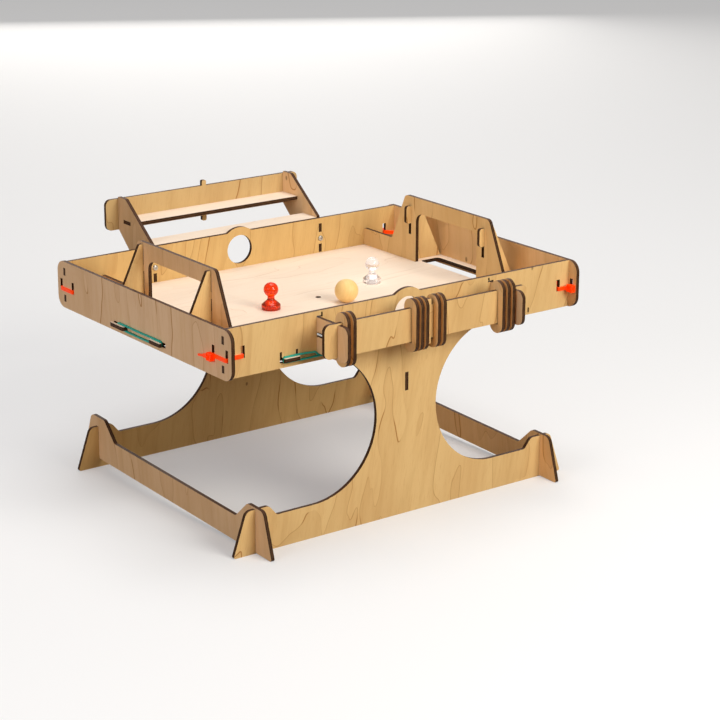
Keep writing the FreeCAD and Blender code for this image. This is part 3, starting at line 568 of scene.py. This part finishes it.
def rubber():
    """Teal rubber, a little paler where it has rubbed."""
    finish, tree, shader, place = start_finish("rubber_band")
    bloom = noise(tree, place, *BLOOM)
    worn = ramp(tree, bloom, *BLOOM_SHOWS)
    set_inputs(tree, shader, {"Base Color": tint(tree, worn, RUBBER_WORN, RUBBER_COLOUR),
                              "Roughness": ramp(tree, bloom, *MOST_NOISE, *RUBBER_ROUGHNESS),
                              "Normal": bump(tree, bloom, *BLOOM_RELIEF)})
    return finish


# %% Nylon
NYLON_COLOUR, NYLON_PALE = (1.0, 0.06, 0.001, 1), (1.0, 0.10, 0.004, 1)
# painted glow: an emission that stands in for light coming through the nylon
NYLON_PAINTED_GLOW, NYLON_PAINTED_GLOW_STRENGTH = (1.0, 0.04, 0.0, 1), 0.3    # light that comes through it
SKIN, SKIN_SHOWS = (900.0, 2.0), (0.4, 0.7, 0.0, 0.5)
SKIN_RELIEF = (0.3, 0.04 * MM)
NYLON_ROUGHNESS, NYLON_SHINE = (0.30, 0.42), 0.2


def nylon():
    """Orange-red nylon of the cable ties, with a painted glow for light that comes through it."""
    finish, tree, shader, place = start_finish("tie_nylon")
    skin = noise(tree, place, *SKIN)
    pale = ramp(tree, skin, *SKIN_SHOWS)
    set_inputs(tree, shader, {"Base Color": tint(tree, pale, NYLON_PALE, NYLON_COLOUR),
                              "Roughness": ramp(tree, skin, *MOST_NOISE, *NYLON_ROUGHNESS),
                              "Specular IOR Level": NYLON_SHINE,
                              # painted glow of the light that comes through the nylon
                              "Emission Color": NYLON_PAINTED_GLOW,
                              "Emission Strength": NYLON_PAINTED_GLOW_STRENGTH,
                              "Normal": bump(tree, skin, *SKIN_RELIEF)})
    return finish


# %% Metal
SCUFF_DETAIL, SCUFFS_SHOW = 3.0, (0.35, 0.7)
SCUFF_SHADE, SCUFF_ROUGHNESS = 0.72, 0.14    # of the colour, and over the bare roughness


def plated(name, colour, roughness, scuffs_per_metre):
    """Plated steel, with fine scuffs from the tools."""
    finish, tree, shader, place = start_finish(name)
    scuffs = noise(tree, place, scuffs_per_metre, SCUFF_DETAIL)
    darker = tuple(SCUFF_SHADE * part for part in colour[:3]) + (1,)
    set_inputs(tree, shader, {
        "Base Color": tint(tree, ramp(tree, scuffs, *SCUFFS_SHOW), colour, darker),
        "Roughness": ramp(tree, scuffs, *MOST_NOISE, roughness, roughness + SCUFF_ROUGHNESS),
        "Metallic": 1.0})
    return finish


# %% Acrylic of the figures
WEAR, WEAR_SHOWS, WEAR_ROUGHNESS = (300.0, 3.0), (0.45, 0.75), 0.05
ACRYLIC_IOR, ACRYLIC_SHINE = 1.49, 0.3


def acrylic(name, colour, clearness, roughness):
    """Polished acrylic that light passes through."""
    finish, tree, shader, place = start_finish(name)
    rough = ramp(tree, noise(tree, place, *WEAR), *WEAR_SHOWS, roughness,
                 roughness + WEAR_ROUGHNESS)
    set_inputs(tree, shader, {"Base Color": colour, "Roughness": rough,
                              "Transmission Weight": clearness, "IOR": ACRYLIC_IOR,
                              "Specular IOR Level": ACRYLIC_SHINE})
    return finish


# %% Turned wood of the ball
BALL_COLOUR, BALL_RING, BALL_PORE = (
    (0.91, 0.62, 0.25, 1), (0.70, 0.39, 0.10, 1), (0.62, 0.34, 0.10, 1))
BALL_LEAN, BALL_STRETCH = (0.5, 0.3, 0.0), (1.0, 1.0, 5.0)
BALL_RINGS = {"Scale": 140.0, "Distortion": 3.0, "Detail": 2.0, "Detail Scale": 1.5}
BALL_RINGS_SHOW = (0.3, 0.9, 0.0, 0.08)
BALL_PORES, BALL_PORES_SHOW = (1400.0, 2.0), (0.55, 0.75, 0.0, 0.16)
BALL_RELIEF = (0.3, 0.04 * MM)
BALL_ROUGHNESS = (0.40, 0.52)


def turned_wood():
    """Pale hardwood with the rings that turning shows, under a thin lacquer."""
    finish, tree, shader, place = start_finish("ball_wood")
    tilted = add(tree, "Mapping", {"Vector": place, "Rotation": BALL_LEAN,
                                   "Scale": BALL_STRETCH},
                 vector_type="TEXTURE").outputs["Vector"]
    rings = add(tree, "TexWave", {"Vector": tilted, **BALL_RINGS}).outputs["Fac"]
    pores = noise(tree, tilted, *BALL_PORES)
    colour = tint(tree, ramp(tree, rings, *BALL_RINGS_SHOW), BALL_RING, BALL_COLOUR)
    colour = tint(tree, ramp(tree, pores, *BALL_PORES_SHOW), BALL_PORE, colour)
    set_inputs(tree, shader, {"Base Color": colour,
                              "Roughness": ramp(tree, pores, *MOST_NOISE, *BALL_ROUGHNESS),
                              "Normal": bump(tree, pores, *BALL_RELIEF)})
    return finish


# %% Make the small finishes
rubber_finish = rubber()
nylon_finish = nylon()
zinc_finish = plated("zinc_plate", (0.66, 0.66, 0.64, 1), roughness=0.24,
                     scuffs_per_metre=2600.0)
nickel_finish = plated("nickel_plate", (0.80, 0.79, 0.77, 1), roughness=0.12,
                       scuffs_per_metre=1800.0)
red_finish = acrylic("red_acrylic", (1.0, 0.060, 0.002, 1), clearness=0.70, roughness=0.04)
clear_finish = acrylic("clear_acrylic", (0.95, 0.95, 1.0, 1), clearness=0.84, roughness=0.02)
wood_finish = turned_wood()
print("finishes:", len(bpy.data.materials))

# %% [markdown]
# ## Placing a finished piece
#
# A piece is modelled where it stands. When it is done, its place goes into its mesh and its
# object goes to the origin, as the frame's own pieces are, so that a pattern on Object
# coordinates stays where it was put. The same helper gives it its name, finish and body.

# %% Selecting helpers
def deselect():
    """Leaves nothing selected."""
    bpy.ops.object.select_all(action="DESELECT")


def only(piece):
    """Selects one piece alone and makes it the active one."""
    deselect()
    piece.select_set(True)
    bpy.context.view_layer.objects.active = piece


def into_mesh(piece):
    """The place, turn and size of a piece go into its mesh."""
    only(piece)
    bpy.ops.object.transform_apply(location=True, rotation=True, scale=True)


# %% Mesh helpers
MERGE_DISTANCE = 0.01 * MM


def block(size, centre=(0, 0, 0)):
    """A box of a size in millimetres, about a centre."""
    deselect()
    bpy.ops.mesh.primitive_cube_add(size=1, location=[part * MM for part in centre])
    made = bpy.context.object
    made.scale = [part * MM for part in size]
    bpy.ops.object.transform_apply(location=False, rotation=False, scale=True)
    return made


def close_up(piece):
    """Merges doubled points and turns all faces outward."""
    only(piece)
    bpy.ops.object.mode_set(mode="EDIT")
    bpy.ops.mesh.select_all(action="SELECT")
    bpy.ops.mesh.remove_doubles(threshold=MERGE_DISTANCE)
    bpy.ops.mesh.normals_make_consistent(inside=False)
    bpy.ops.object.mode_set(mode="OBJECT")


def apply_modifiers(piece):
    """Works all of a piece's modifiers into its mesh."""
    only(piece)
    for modifier in list(piece.modifiers):
        bpy.ops.object.modifier_apply(modifier=modifier.name)


def soften(piece, width, steps=3, from_angle=30):
    """Small bevels, on the edges that bend more than an angle in degrees."""
    bevel = piece.modifiers.new("soft_edge", "BEVEL")
    bevel.width = width * MM
    bevel.segments = steps
    bevel.limit_method = "ANGLE"
    bevel.angle_limit = math.radians(from_angle)


# %% Joining and placing helpers
SMOOTH_BELOW = math.radians(32)      # an edge that bends more stays sharp


def join(pieces):
    """Several meshes of one piece become one mesh."""
    deselect()
    for piece in pieces:
        piece.select_set(True)
    bpy.context.view_layer.objects.active = pieces[0]
    bpy.ops.object.join()
    return bpy.context.object


def settle(piece, name, finish, body, slot, *replaced):
    """Name, finish and body of a finished piece; its place goes into its mesh. The slot is not
    used.
    """
    into_mesh(piece)
    bpy.ops.object.shade_smooth_by_angle(angle=SMOOTH_BELOW)
    piece.name = name
    piece.data.name = name
    piece.data.materials.clear()
    piece.data.materials.append(finish)
    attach(piece, body)
    if replaced:
        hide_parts(*replaced)
    print(name, "faces:", len(piece.data.polygons))


# %% [markdown]
# ## Strips: bands and ties
#
# A rubber band and a cable tie are both a flat strip on edge that runs round in a loop. Each is
# drawn as a curve along its middle line and drawn out to its width, so it starts as a sheet with
# no thickness. Made a mesh, it gets its thickness from Solidify and its soft edges from Bevel. A
# tube along a path would be quicker, but it can't be flat with square edges, as a strip is.

# %% Rounded paths
ARC_STEPS = 6
NEARLY_STRAIGHT = math.radians(88)   # half of a corner that needs no arc
LONGEST_REACH = 0.48                 # of a side, for the arc at one of its ends


def rounded(corners, radius):
    """A closed path with an arc at each corner, as (u, v) points in millimetres."""
    path = []
    count = len(corners)
    for i in range(count):
        here = Vector(corners[i])
        back = Vector(corners[i - 1]) - here
        onward = Vector(corners[(i + 1) % count]) - here
        half_angle = back.angle(onward) / 2
        if half_angle > NEARLY_STRAIGHT:
            path.append(here)
            continue
        reach = min(radius / math.tan(half_angle), LONGEST_REACH * back.length,
                    LONGEST_REACH * onward.length)
        start = here + back.normalized() * reach
        end = here + onward.normalized() * reach
        for step in range(ARC_STEPS + 1):
            t = step / ARC_STEPS
            path.append((1 - t) ** 2 * start + 2 * t * (1 - t) * here + t * t * end)
    return path


# %% Strips
STRIP_SHARP = 50                     # degrees; a bend along the strip is less
TURNS = {"flat": (0, 0, 0), "along": (math.pi / 2, 0, 0), "across": (math.pi / 2, 0, math.pi / 2)}
WIDTH_AXIS = {"flat": Vector((0, 0, 1)), "along": Vector((0, 1, 0)), "across": Vector((1, 0, 0))}


def strip(path, lie, middle, wide, thick, soft_edge):
    """A closed strip on edge. The path is (u, v) in millimetres, middle its place across."""
    deselect()
    bpy.ops.curve.primitive_bezier_circle_add(location=(0, 0, 0))
    loop = bpy.context.object
    line = loop.data
    line.dimensions = "3D"
    line.twist_mode = "Z_UP"
    line.splines.clear()
    spline = line.splines.new("POLY")
    spline.points.add(len(path) - 1)
    for point, (u, v) in zip(spline.points, path):
        point.co = (u * MM, v * MM, 0, 1)
    spline.use_cyclic_u = True
    line.extrude = wide * MM / 2
    only(loop)
    bpy.ops.object.convert(target="MESH")
    loop = bpy.context.object
    loop.rotation_euler = TURNS[lie]
    loop.location = WIDTH_AXIS[lie] * middle * MM
    into_mesh(loop)
    close_up(loop)
    thicken = loop.modifiers.new("thickness", "SOLIDIFY")
    thicken.thickness = thick * MM
    thicken.offset = 0.0
    soften(loop, soft_edge, from_angle=STRIP_SHARP)
    apply_modifiers(loop)
    return loop


# %% [markdown]
# ## Rubber bands
#
# Six bands hold the tray together: each is stretched around two hooks of the playing field that
# stick out through the walls. At an end wall the band is a plain long loop. Beside a bracket the
# bracket's lower edge presses both strands down. Rubber never lies quite straight, so each
# strand gets a slight bow.

# %% Sizes of the tray, in millimetres
HALF_LENGTH, HALF_WIDTH = 162.0, 112.5       # to the inner faces of the walls
END_WALL_FACE, PANEL_OUTER = HALF_LENGTH + SHEET, HALF_WIDTH + SHEET
FIELD_TOP, FIELD_BOTTOM = 147.0, 144.0
HOOK_NEAR, HOOK_FAR = 18.5, 31.0             # ends of a hook, from the middle of its pair
BRACKET_ACROSS = 82.5
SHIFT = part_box("front_panel")[0].y / MM + PANEL_OUTER
print("the tray's middle along Y, in mm:", round(SHIFT, 2))

# %% Band sizes
BAND_WIDE, BAND_THICK = 2.0, 1.15
BAND_SOFT_EDGE = 0.3
BAND_HIGH, BAND_LOW = FIELD_TOP + BAND_THICK / 2, FIELD_BOTTOM - BAND_THICK / 2
BAND_END = HOOK_FAR + BAND_THICK / 2


def band_middle(name, axis):
    """Where a band lies across its wall, in millimetres."""
    low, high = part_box(name)
    return (low[axis] + high[axis]) / 2 / MM


# %% End bands
END_BAND_BACK = 29.5 + BAND_THICK / 2        # the hook at the back is a little shorter
END_BAND_CORNER = 1.5
# where each strand bows between the hooks, and by what part of the whole bow
UPPER_BOWS, LOWER_BOWS = ((-6, 1.0), (8, 0.8)), ((10, 0.5), (-8, 0.7))


def end_band_path(bow):
    """Round both hooks, with each strand bowed downward in its own way."""
    high, low = BAND_HIGH, BAND_LOW
    corners = [(-BAND_END, high), (-HOOK_NEAR, high),
               *((u, high - part * bow) for u, part in UPPER_BOWS),
               (HOOK_NEAR, high), (END_BAND_BACK, high), (END_BAND_BACK, low),
               (HOOK_NEAR, low), *((u, low - part * bow) for u, part in LOWER_BOWS),
               (-HOOK_NEAR, low), (-BAND_END, low)]
    return rounded([(SHIFT + u, v) for u, v in corners], END_BAND_CORNER)


for side, bow in (("left", 0.25), ("right", 0.4)):
    name = side + "_end_band"
    band = strip(end_band_path(bow), "across", band_middle(name, 0), BAND_WIDE, BAND_THICK,
                 BAND_SOFT_EDGE)
    settle(band, side + "_end_rubber_band", rubber_finish, "table", "rubber_band", name)

# %% Side bands
PRESSED, PUSHED = 144.8, 143.3       # heights of the two strands under the bracket
UNDER, BESIDE = 1.9, 3.5             # pressed flat so far from its middle, and bent so far
DROP, SAG = 0.7, 0.2                 # of the upper strand beside it, of the lower at a hook
SIDE_BAND_CORNER = 1.2


def side_band_path(middle, bow):
    """Round both hooks, with both strands pressed down by the bracket between them."""
    end, high, low = BAND_END, BAND_HIGH, BAND_LOW
    corners = [(-end, high), (-HOOK_NEAR, high), (-BESIDE, high - DROP - bow),
               (-UNDER, PRESSED), (UNDER, PRESSED), (BESIDE, high - DROP),
               (HOOK_NEAR, high), (end, high), (end, low), (HOOK_NEAR, low - bow),
               (UNDER, PUSHED), (-UNDER, PUSHED), (-HOOK_NEAR, low - SAG), (-end, low)]
    return rounded([(middle + u, v) for u, v in corners], SIDE_BAND_CORNER)


for wall in ("front", "back"):
    for side, sign, bow in (("left", -1, 0.0), ("right", 1, 0.15)):
        name = wall + "_" + side + "_band"
        path = side_band_path(sign * BRACKET_ACROSS, bow)
        band = strip(path, "along", band_middle(name, 1), BAND_WIDE, BAND_THICK,
                     BAND_SOFT_EDGE)
        settle(band, wall + "_" + side + "_rubber_band", rubber_finish, "table", "rubber_band",
               name)

# %% [markdown]
# ## Cable ties
#
# One tie pulls each corner of the tray together. Its strap goes through two slots in the end
# wall and one in the long wall, and its head locks the end. The head is a block with a
# rectangular tunnel for the strap: made as a cube, its tunnel is an inset face pushed inward.
# The tail that comes out has teeth on one side, one wedge repeated by Array.

# %% Tie sizes
TIE_WIDE, TIE_THICK = 3.1, 1.1
TIE_CORNER, TIE_SOFT_EDGE = 0.9, 0.22
STRAP_LOW = 153.4                    # lower edge of every strap
STRAP_MIDDLE = STRAP_LOW + TIE_WIDE / 2
HEAD_LONG, HEAD_DEEP, HEAD_TALL = 6.2, 4.1, 5.8
HEAD_DROP = 1.2                      # a head hangs a little lower than its strap
HEAD_LOW = STRAP_MIDDLE - HEAD_TALL / 2 - HEAD_DROP
END_SLOT_INNER = HALF_WIDTH - 11.2   # slot in the end wall, inside the tray
END_SLOT_OUTER = PANEL_OUTER + 3.6   # slot in the end wall, outside the long wall
OFF_WALL, SLANT = 0.6, 4.5           # strap from a wall's inner face, and its slanting part


def corner_path(side_x, side_y, slot_in):
    """Middle line of a strap round one corner of the tray, seen from above."""
    half = TIE_THICK / 2
    outside, inside = END_WALL_FACE + half, HALF_LENGTH - OFF_WALL
    slot = HALF_LENGTH - slot_in
    corners = [(outside, END_SLOT_INNER), (outside, END_SLOT_OUTER), (inside, END_SLOT_OUTER),
               (inside - SLANT, PANEL_OUTER + half), (slot, PANEL_OUTER + half),
               (slot, HALF_WIDTH - OFF_WALL), (inside, END_SLOT_INNER)]
    return rounded([(side_x * u, side_y * v + SHIFT) for u, v in corners], TIE_CORNER)


# %% Tie head
HEAD_WALL, TUNNEL_DEPTH, HEAD_SOFT_EDGE = 0.85, 1.6, 0.35
STEP_WIDTH = 0.001                   # an inset this narrow pushes a face straight in
POINTS_ALONG = 0.9                   # of its normal, for a face that points along an axis


def tie_head(low, size, tunnel_axis):
    """Lock of a tie: a block with a rectangular tunnel, open at both ends."""
    head = block(size, [low[i] + size[i] / 2 for i in range(3)])
    bpy.ops.object.mode_set(mode="EDIT")
    bpy.ops.mesh.select_all(action="DESELECT")
    bpy.ops.object.mode_set(mode="OBJECT")
    for face in head.data.polygons:
        face.select = abs(face.normal[tunnel_axis]) > POINTS_ALONG
    bpy.ops.object.mode_set(mode="EDIT")
    bpy.ops.mesh.select_mode(type="FACE")
    bpy.ops.mesh.inset(thickness=HEAD_WALL * MM, use_individual=True)
    bpy.ops.mesh.inset(thickness=STEP_WIDTH * MM, depth=-TUNNEL_DEPTH * MM,
                       use_individual=True)
    bpy.ops.object.mode_set(mode="OBJECT")
    soften(head, HEAD_SOFT_EDGE)
    apply_modifiers(head)
    return head


# %% Tie tail
TOOTH_PITCH, TOOTH_DEPTH = 1.05, 0.35
# the last millimetres before the tip, and how much of their width is left
TAIL_TAPER = ((8.0, 0.86), (5.0, 0.86), (2.5, 0.72))


def tie_tail(start, length, slope):
    """Loose end of a strap along +Y, with teeth on the side that faced the lock."""
    tail = block((TIE_THICK, TOOTH_PITCH, TIE_WIDE))
    for face in tail.data.polygons:
        face.select = False
    for edge in tail.data.edges:
        edge.select = False
    for point in tail.data.vertices:
        point.select = point.co.x > 0 and point.co.y > 0
    bpy.ops.object.mode_set(mode="EDIT")
    bpy.ops.mesh.select_mode(type="VERT")
    bpy.ops.transform.translate(value=(-TOOTH_DEPTH * MM, 0, 0))
    bpy.ops.object.mode_set(mode="OBJECT")
    teeth = tail.modifiers.new("teeth", "ARRAY")
    teeth.count = int(length / TOOTH_PITCH)
    teeth.use_relative_offset = False
    teeth.use_constant_offset = True
    teeth.constant_offset_displace = (0, TOOTH_PITCH * MM, 0)
    apply_modifiers(tail)
    for reach, width in TAIL_TAPER:
        for point in tail.data.vertices:
            point.select = point.co.y > (length - reach) * MM
        bpy.ops.object.mode_set(mode="EDIT")
        bpy.ops.transform.resize(value=(1, 1, width), center_override=(0, 0, 0))
        bpy.ops.object.mode_set(mode="OBJECT")
    tail.rotation_euler = (-math.radians(slope), 0, 0)
    tail.location = [part * MM for part in start]
    into_mesh(tail)
    return tail


# %% A whole tie
LEFT_SLOT_IN, RIGHT_SLOT_IN = 13.0, 10.7     # from the end wall to the slot in the long wall
HEAD_ACROSS = (HEAD_DEEP, HEAD_LONG, HEAD_TALL)
HEAD_ALONG = (HEAD_LONG, HEAD_DEEP, HEAD_TALL)


def tie(name, side_x, side_y, slot_in, head, tail=None):
    """Strap, head and sometimes a tail, as one piece."""
    parts = [strip(corner_path(side_x, side_y, slot_in), "flat", STRAP_MIDDLE, TIE_WIDE,
                   TIE_THICK, TIE_SOFT_EDGE), head]
    if tail:
        parts.append(tail)
    settle(join(parts), name + "_cable_tie", nylon_finish, "table", "tie", name + "_tie")


# %% The front ties
TAIL_LENGTH, TAIL_SLOPE = 14.0, 9.0          # millimetres, degrees downward
TAIL_START = (1.6, 5.2, 1.4 + TIE_WIDE / 2)  # from the low corner of its head
HEAD_BEFORE_SLOT = 2.2
INSIDE_GAPS = (0.1, 2.4, 1.6)                # right head: end wall, long wall, and how raised
low = (-END_WALL_FACE - HEAD_DEEP, SHIFT - END_SLOT_INNER - HEAD_BEFORE_SLOT, HEAD_LOW)
head = tie_head(low, HEAD_ACROSS, 1)
tail = tie_tail([low[i] + TAIL_START[i] for i in range(3)], TAIL_LENGTH, TAIL_SLOPE)
tie("front_left", -1, -1, LEFT_SLOT_IN, head, tail)
low = (HALF_LENGTH - HEAD_DEEP - INSIDE_GAPS[0],
       SHIFT - PANEL_OUTER - HEAD_LONG - INSIDE_GAPS[1], HEAD_LOW + INSIDE_GAPS[2])
head = tie_head(low, HEAD_ACROSS, 1)
tie("front_right", 1, -1, RIGHT_SLOT_IN, head)

# %% The back ties
back_face = SHIFT + PANEL_OUTER
slot_end = HALF_LENGTH - LEFT_SLOT_IN + TIE_THICK / 2
head = tie_head((-slot_end - HEAD_LONG, back_face, HEAD_LOW), HEAD_ALONG, 0)
tie("back_left", -1, 1, LEFT_SLOT_IN, head)
slot_end = HALF_LENGTH - RIGHT_SLOT_IN + TIE_THICK / 2
head = tie_head((slot_end, back_face, HEAD_LOW), HEAD_ALONG, 0)
tie("back_right", 1, 1, RIGHT_SLOT_IN, head)

# %% [markdown]
# ## Turned pieces
#
# The figures, magnets, screws and the ball are round about one axis, as if from a lathe. Spin
# would do it from a drawn profile. Here a disc is extruded upward ring by ring, and each new
# ring is scaled to its radius: the same shape, and closed from the start.

# %% The lathe
def turned_piece(centre, profile, segments):
    """A closed turned shape. The profile is (radius, height) in millimetres; an end is a pole."""
    deselect()
    radius, height = profile[0]
    x, y, z = centre
    bpy.ops.mesh.primitive_circle_add(vertices=segments, radius=radius * MM, fill_type="TRIFAN",
                                      location=(x, y, z + height * MM))
    piece = bpy.context.object
    bpy.ops.object.mode_set(mode="EDIT")
    bpy.ops.mesh.select_mode(type="FACE")
    bpy.ops.mesh.select_all(action="SELECT")
    for next_radius, next_height in profile[1:]:
        rise = (next_height - height) * MM
        bpy.ops.mesh.extrude_region_move(TRANSFORM_OT_translate={"value": (0, 0, rise)})
        ratio = next_radius / radius
        bpy.ops.transform.resize(value=(ratio, ratio, 1),
                                 center_override=(x, y, z + next_height * MM))
        radius, height = next_radius, next_height
    bpy.ops.object.mode_set(mode="OBJECT")
    bpy.ops.object.transform_apply(location=True, rotation=False, scale=False)
    close_up(piece)
    return piece


def arc(centre_height, radius, start, end, steps, across=0.0):
    """Points of a round part of a profile, from one angle to another in degrees from below."""
    points = []
    for step in range(steps + 1):
        angle = math.radians(start + (end - start) * step / steps)
        points.append((across + radius * math.sin(angle), centre_height - radius * math.cos(angle)))
    return points


# %% [markdown]
# ## Figures and their magnets
#
# A figure is the pawn of a magnet board: a drum, a sloping shoulder, a thin neck and a ball.
# Under its base is a round pocket with a disc magnet, which a second magnet pulls from under
# the field. The pocket is modelled, because the clear figure shows it. Where the drum meets
# the shoulder and the base, the moulding has a small round.

# %% Figure
POCKET, POCKET_HEIGHT = 3.55, 3.45
DRUM_HEIGHT, FOOT_ROUND, DRUM_ROUND = 4.2, 0.5, 0.7
SHOULDER = ((4.3, 6.75), (3.25, 7.5))        # radius, height
PAWN_NECK = 2.8
WAIST = ((PAWN_NECK + 0.05, 8.2), (PAWN_NECK - 0.05, 9.2), (PAWN_NECK, 10.3))
PAWN_HEAD, PAWN_HEAD_HEIGHT = 5.8, 15.8
POLE_GAP = 1.5                               # degrees that an arc stays clear of a pole
FIGURE_SEGMENTS, MAGNET_SEGMENTS = 72, 56
MAGNET_PROFILE = [(3.1, 0.0), (3.45, 0.3), (3.45, 3.05), (3.15, 3.35)]


def pawn_profile(base):
    """From the roof of the magnet's pocket, round the foot and up to the crown."""
    profile = [(POCKET, POCKET_HEIGHT), (POCKET, 0.0), (base - FOOT_ROUND, 0.0)]
    profile += arc(FOOT_ROUND, FOOT_ROUND, start=0, end=90, steps=4, across=base - FOOT_ROUND)
    profile += arc(DRUM_HEIGHT - DRUM_ROUND, DRUM_ROUND, start=90, end=145, steps=5,
                   across=base - DRUM_ROUND)
    profile += SHOULDER + WAIST
    neck_angle = math.degrees(math.asin(PAWN_NECK / PAWN_HEAD))
    profile += arc(PAWN_HEAD_HEIGHT, PAWN_HEAD, start=neck_angle + 2, end=180 - POLE_GAP,
                   steps=26)
    return profile


for name, finish, slot in (("red_pawn", red_finish, "red_plastic"),
                           ("clear_pawn", clear_finish, "clear_plastic")):
    low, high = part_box(name)
    centre = ((low.x + high.x) / 2, (low.y + high.y) / 2, low.z)
    base = (high.x - low.x) / 2 / MM
    figure = turned_piece(centre, pawn_profile(base), FIGURE_SEGMENTS)
    # light that has gone through acrylic is seldom found, so its shadow would be black
    figure.visible_shadow = name != "clear_pawn"
    settle(figure, name.replace("pawn", "figure"), finish, name, slot, name)
    disc = turned_piece(centre, MAGNET_PROFILE, MAGNET_SEGMENTS)
    settle(disc, name.replace("pawn", "figure") + "_magnet", nickel_finish, name, "magnet",
           name + "_magnet")

# %% Ball
BALL_SEGMENTS = 96
low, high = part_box("ball")
radius = (high.x - low.x) / 2 / MM
centre = ((low.x + high.x) / 2, (low.y + high.y) / 2, low.z)
profile = arc(radius, radius, start=POLE_GAP, end=180 - POLE_GAP, steps=BALL_SEGMENTS // 2)
ball = turned_piece(centre, profile, BALL_SEGMENTS)
settle(ball, "wooden_ball", wood_finish, "ball", "ball_wood", "ball")

# %% [markdown]
# ## Screws and nuts
#
# Each bracket is held by one screw through the wall and a square nut that sits in a pocket of
# the bracket. The thread shows in the bracket's slot. It is a stack of rings, not a helix: at a
# pitch of 0.45 mm nobody can tell, and a stack stays closed. The cross in the head is cut with a
# Boolean, from a cutter of two crossed blocks.

# %% Screw profile
THREAD_PITCH, THREAD_DEPTH = 0.45, 0.2
SCREW_RADIUS, SCREW_LENGTH = 1.25, 16.0
TIP_RADIUS, TIP_HEIGHT = 0.75, 0.3
PAN_RADIUS, PAN_SIDE, PAN_ROUND = 2.35, 0.75, 0.9
PAN_FOOT_RADIUS, PAN_FOOT_HEIGHT = 2.3, 0.12


def screw_profile():
    """From the tip of the thread up to the pan head, whose foot is at height 0."""
    root = SCREW_RADIUS - THREAD_DEPTH
    start = -SCREW_LENGTH + TIP_HEIGHT
    profile = [(TIP_RADIUS, -SCREW_LENGTH), (root, start)]
    for turn in range(int((SCREW_LENGTH - 2 * TIP_HEIGHT) / THREAD_PITCH)):
        height = start + (turn + 0.5) * THREAD_PITCH
        profile += [(SCREW_RADIUS, height), (root, height + THREAD_PITCH / 2)]
    profile += [(root, 0.0), (PAN_FOOT_RADIUS, 0.0), (PAN_RADIUS, PAN_FOOT_HEIGHT),
                (PAN_RADIUS, PAN_SIDE)]
    profile += arc(PAN_SIDE, PAN_ROUND, start=90, end=170, steps=7,
                   across=PAN_RADIUS - PAN_ROUND)
    return profile


# %% Cross in the head
CROSS_SIZE, CROSS_HEIGHT = (2.5, 0.52, 1.6), 1.3
CROSS_DEEP, CROSS_NARROWS = 0.5, 0.55        # its lowest height, and its width there


def cross_cutter():
    """Two crossed blocks that narrow downward."""
    arms = []
    for turn in (0, math.pi / 2):
        arm = block(CROSS_SIZE, (0, 0, CROSS_HEIGHT))
        arm.rotation_euler = (0, 0, turn)
        into_mesh(arm)
        for point in arm.data.vertices:
            point.select = point.co.z < CROSS_HEIGHT * MM
        bpy.ops.object.mode_set(mode="EDIT")
        bpy.ops.transform.resize(value=(CROSS_NARROWS, CROSS_NARROWS, 1),
                                 center_override=(0, 0, CROSS_DEEP * MM))
        bpy.ops.object.mode_set(mode="OBJECT")
        arms.append(arm)
    return arms


def cut(piece, cutters):
    """Takes the space of each cutter out of a piece, and removes the cutters."""
    for cutter in cutters:
        taking = piece.modifiers.new("cut", "BOOLEAN")
        taking.operation = "DIFFERENCE"
        taking.solver = "EXACT"
        taking.object = cutter
    apply_modifiers(piece)
    for cutter in cutters:
        bpy.data.objects.remove(cutter)


# %% Copies
def copy_of(piece, turn, place):
    """A copy with its own mesh, turned from upright to lying along Y, and put in its place."""
    twin = piece.copy()
    twin.data = piece.data.copy()
    bpy.context.scene.collection.objects.link(twin)
    twin.rotation_euler = turn
    twin.location = place
    into_mesh(twin)
    return twin


# %% The four screws
BOLT_HEIGHT = 159.6
SCREW_SEGMENTS = 40
HEAD_TURN = 0.5                      # radians from one head to the next
pattern = turned_piece((0, 0, 0), screw_profile(), SCREW_SEGMENTS)
cut(pattern, cross_cutter())
screws = []
for number, (side_x, side_y) in enumerate(((-1, -1), (-1, 1), (1, -1), (1, 1))):
    turn = (Matrix.Rotation(side_y * math.pi / 2, 3, "X")
            @ Matrix.Rotation(HEAD_TURN * number, 3, "Z"))
    place = (side_x * BRACKET_ACROSS * MM, (side_y * HALF_WIDTH + SHIFT) * MM, BOLT_HEIGHT * MM)
    screws.append(copy_of(pattern, turn.to_euler(), place))
bpy.data.objects.remove(pattern)
settle(join(screws), "pan_head_screws", zinc_finish, "table", "zinc", "joint_screws")

# %% The four nuts
NUT_WIDTH, NUT_THICK = 5.0, 1.8
NUT_SETBACK = 10.6                   # its middle, from the outer face of the wall
NUT_SOFT_EDGE, NUT_SOFT_STEPS = 0.18, 2
NUT_BORE = [(1.75, -1.2), (1.27, -0.55), (1.27, 0.55), (1.75, 1.2)]


def square_nut():
    """A soft-edged block with a bore that widens at both ends."""
    nut = block((NUT_WIDTH, NUT_WIDTH, NUT_THICK))
    soften(nut, NUT_SOFT_EDGE, NUT_SOFT_STEPS)
    apply_modifiers(nut)
    cut(nut, [turned_piece((0, 0, 0), NUT_BORE, SCREW_SEGMENTS)])
    return nut


pattern = square_nut()
nuts = []
for side_x in (-1, 1):
    for side_y in (-1, 1):
        middle = side_y * (PANEL_OUTER + NUT_SETBACK) + SHIFT
        place = (side_x * BRACKET_ACROSS * MM, middle * MM, BOLT_HEIGHT * MM)
        nuts.append(copy_of(pattern, (math.pi / 2, 0, 0), place))
bpy.data.objects.remove(pattern)
settle(join(nuts), "square_nuts", zinc_finish, "table", "zinc", "joint_nuts")

# %% Bounds of the table
low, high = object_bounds()
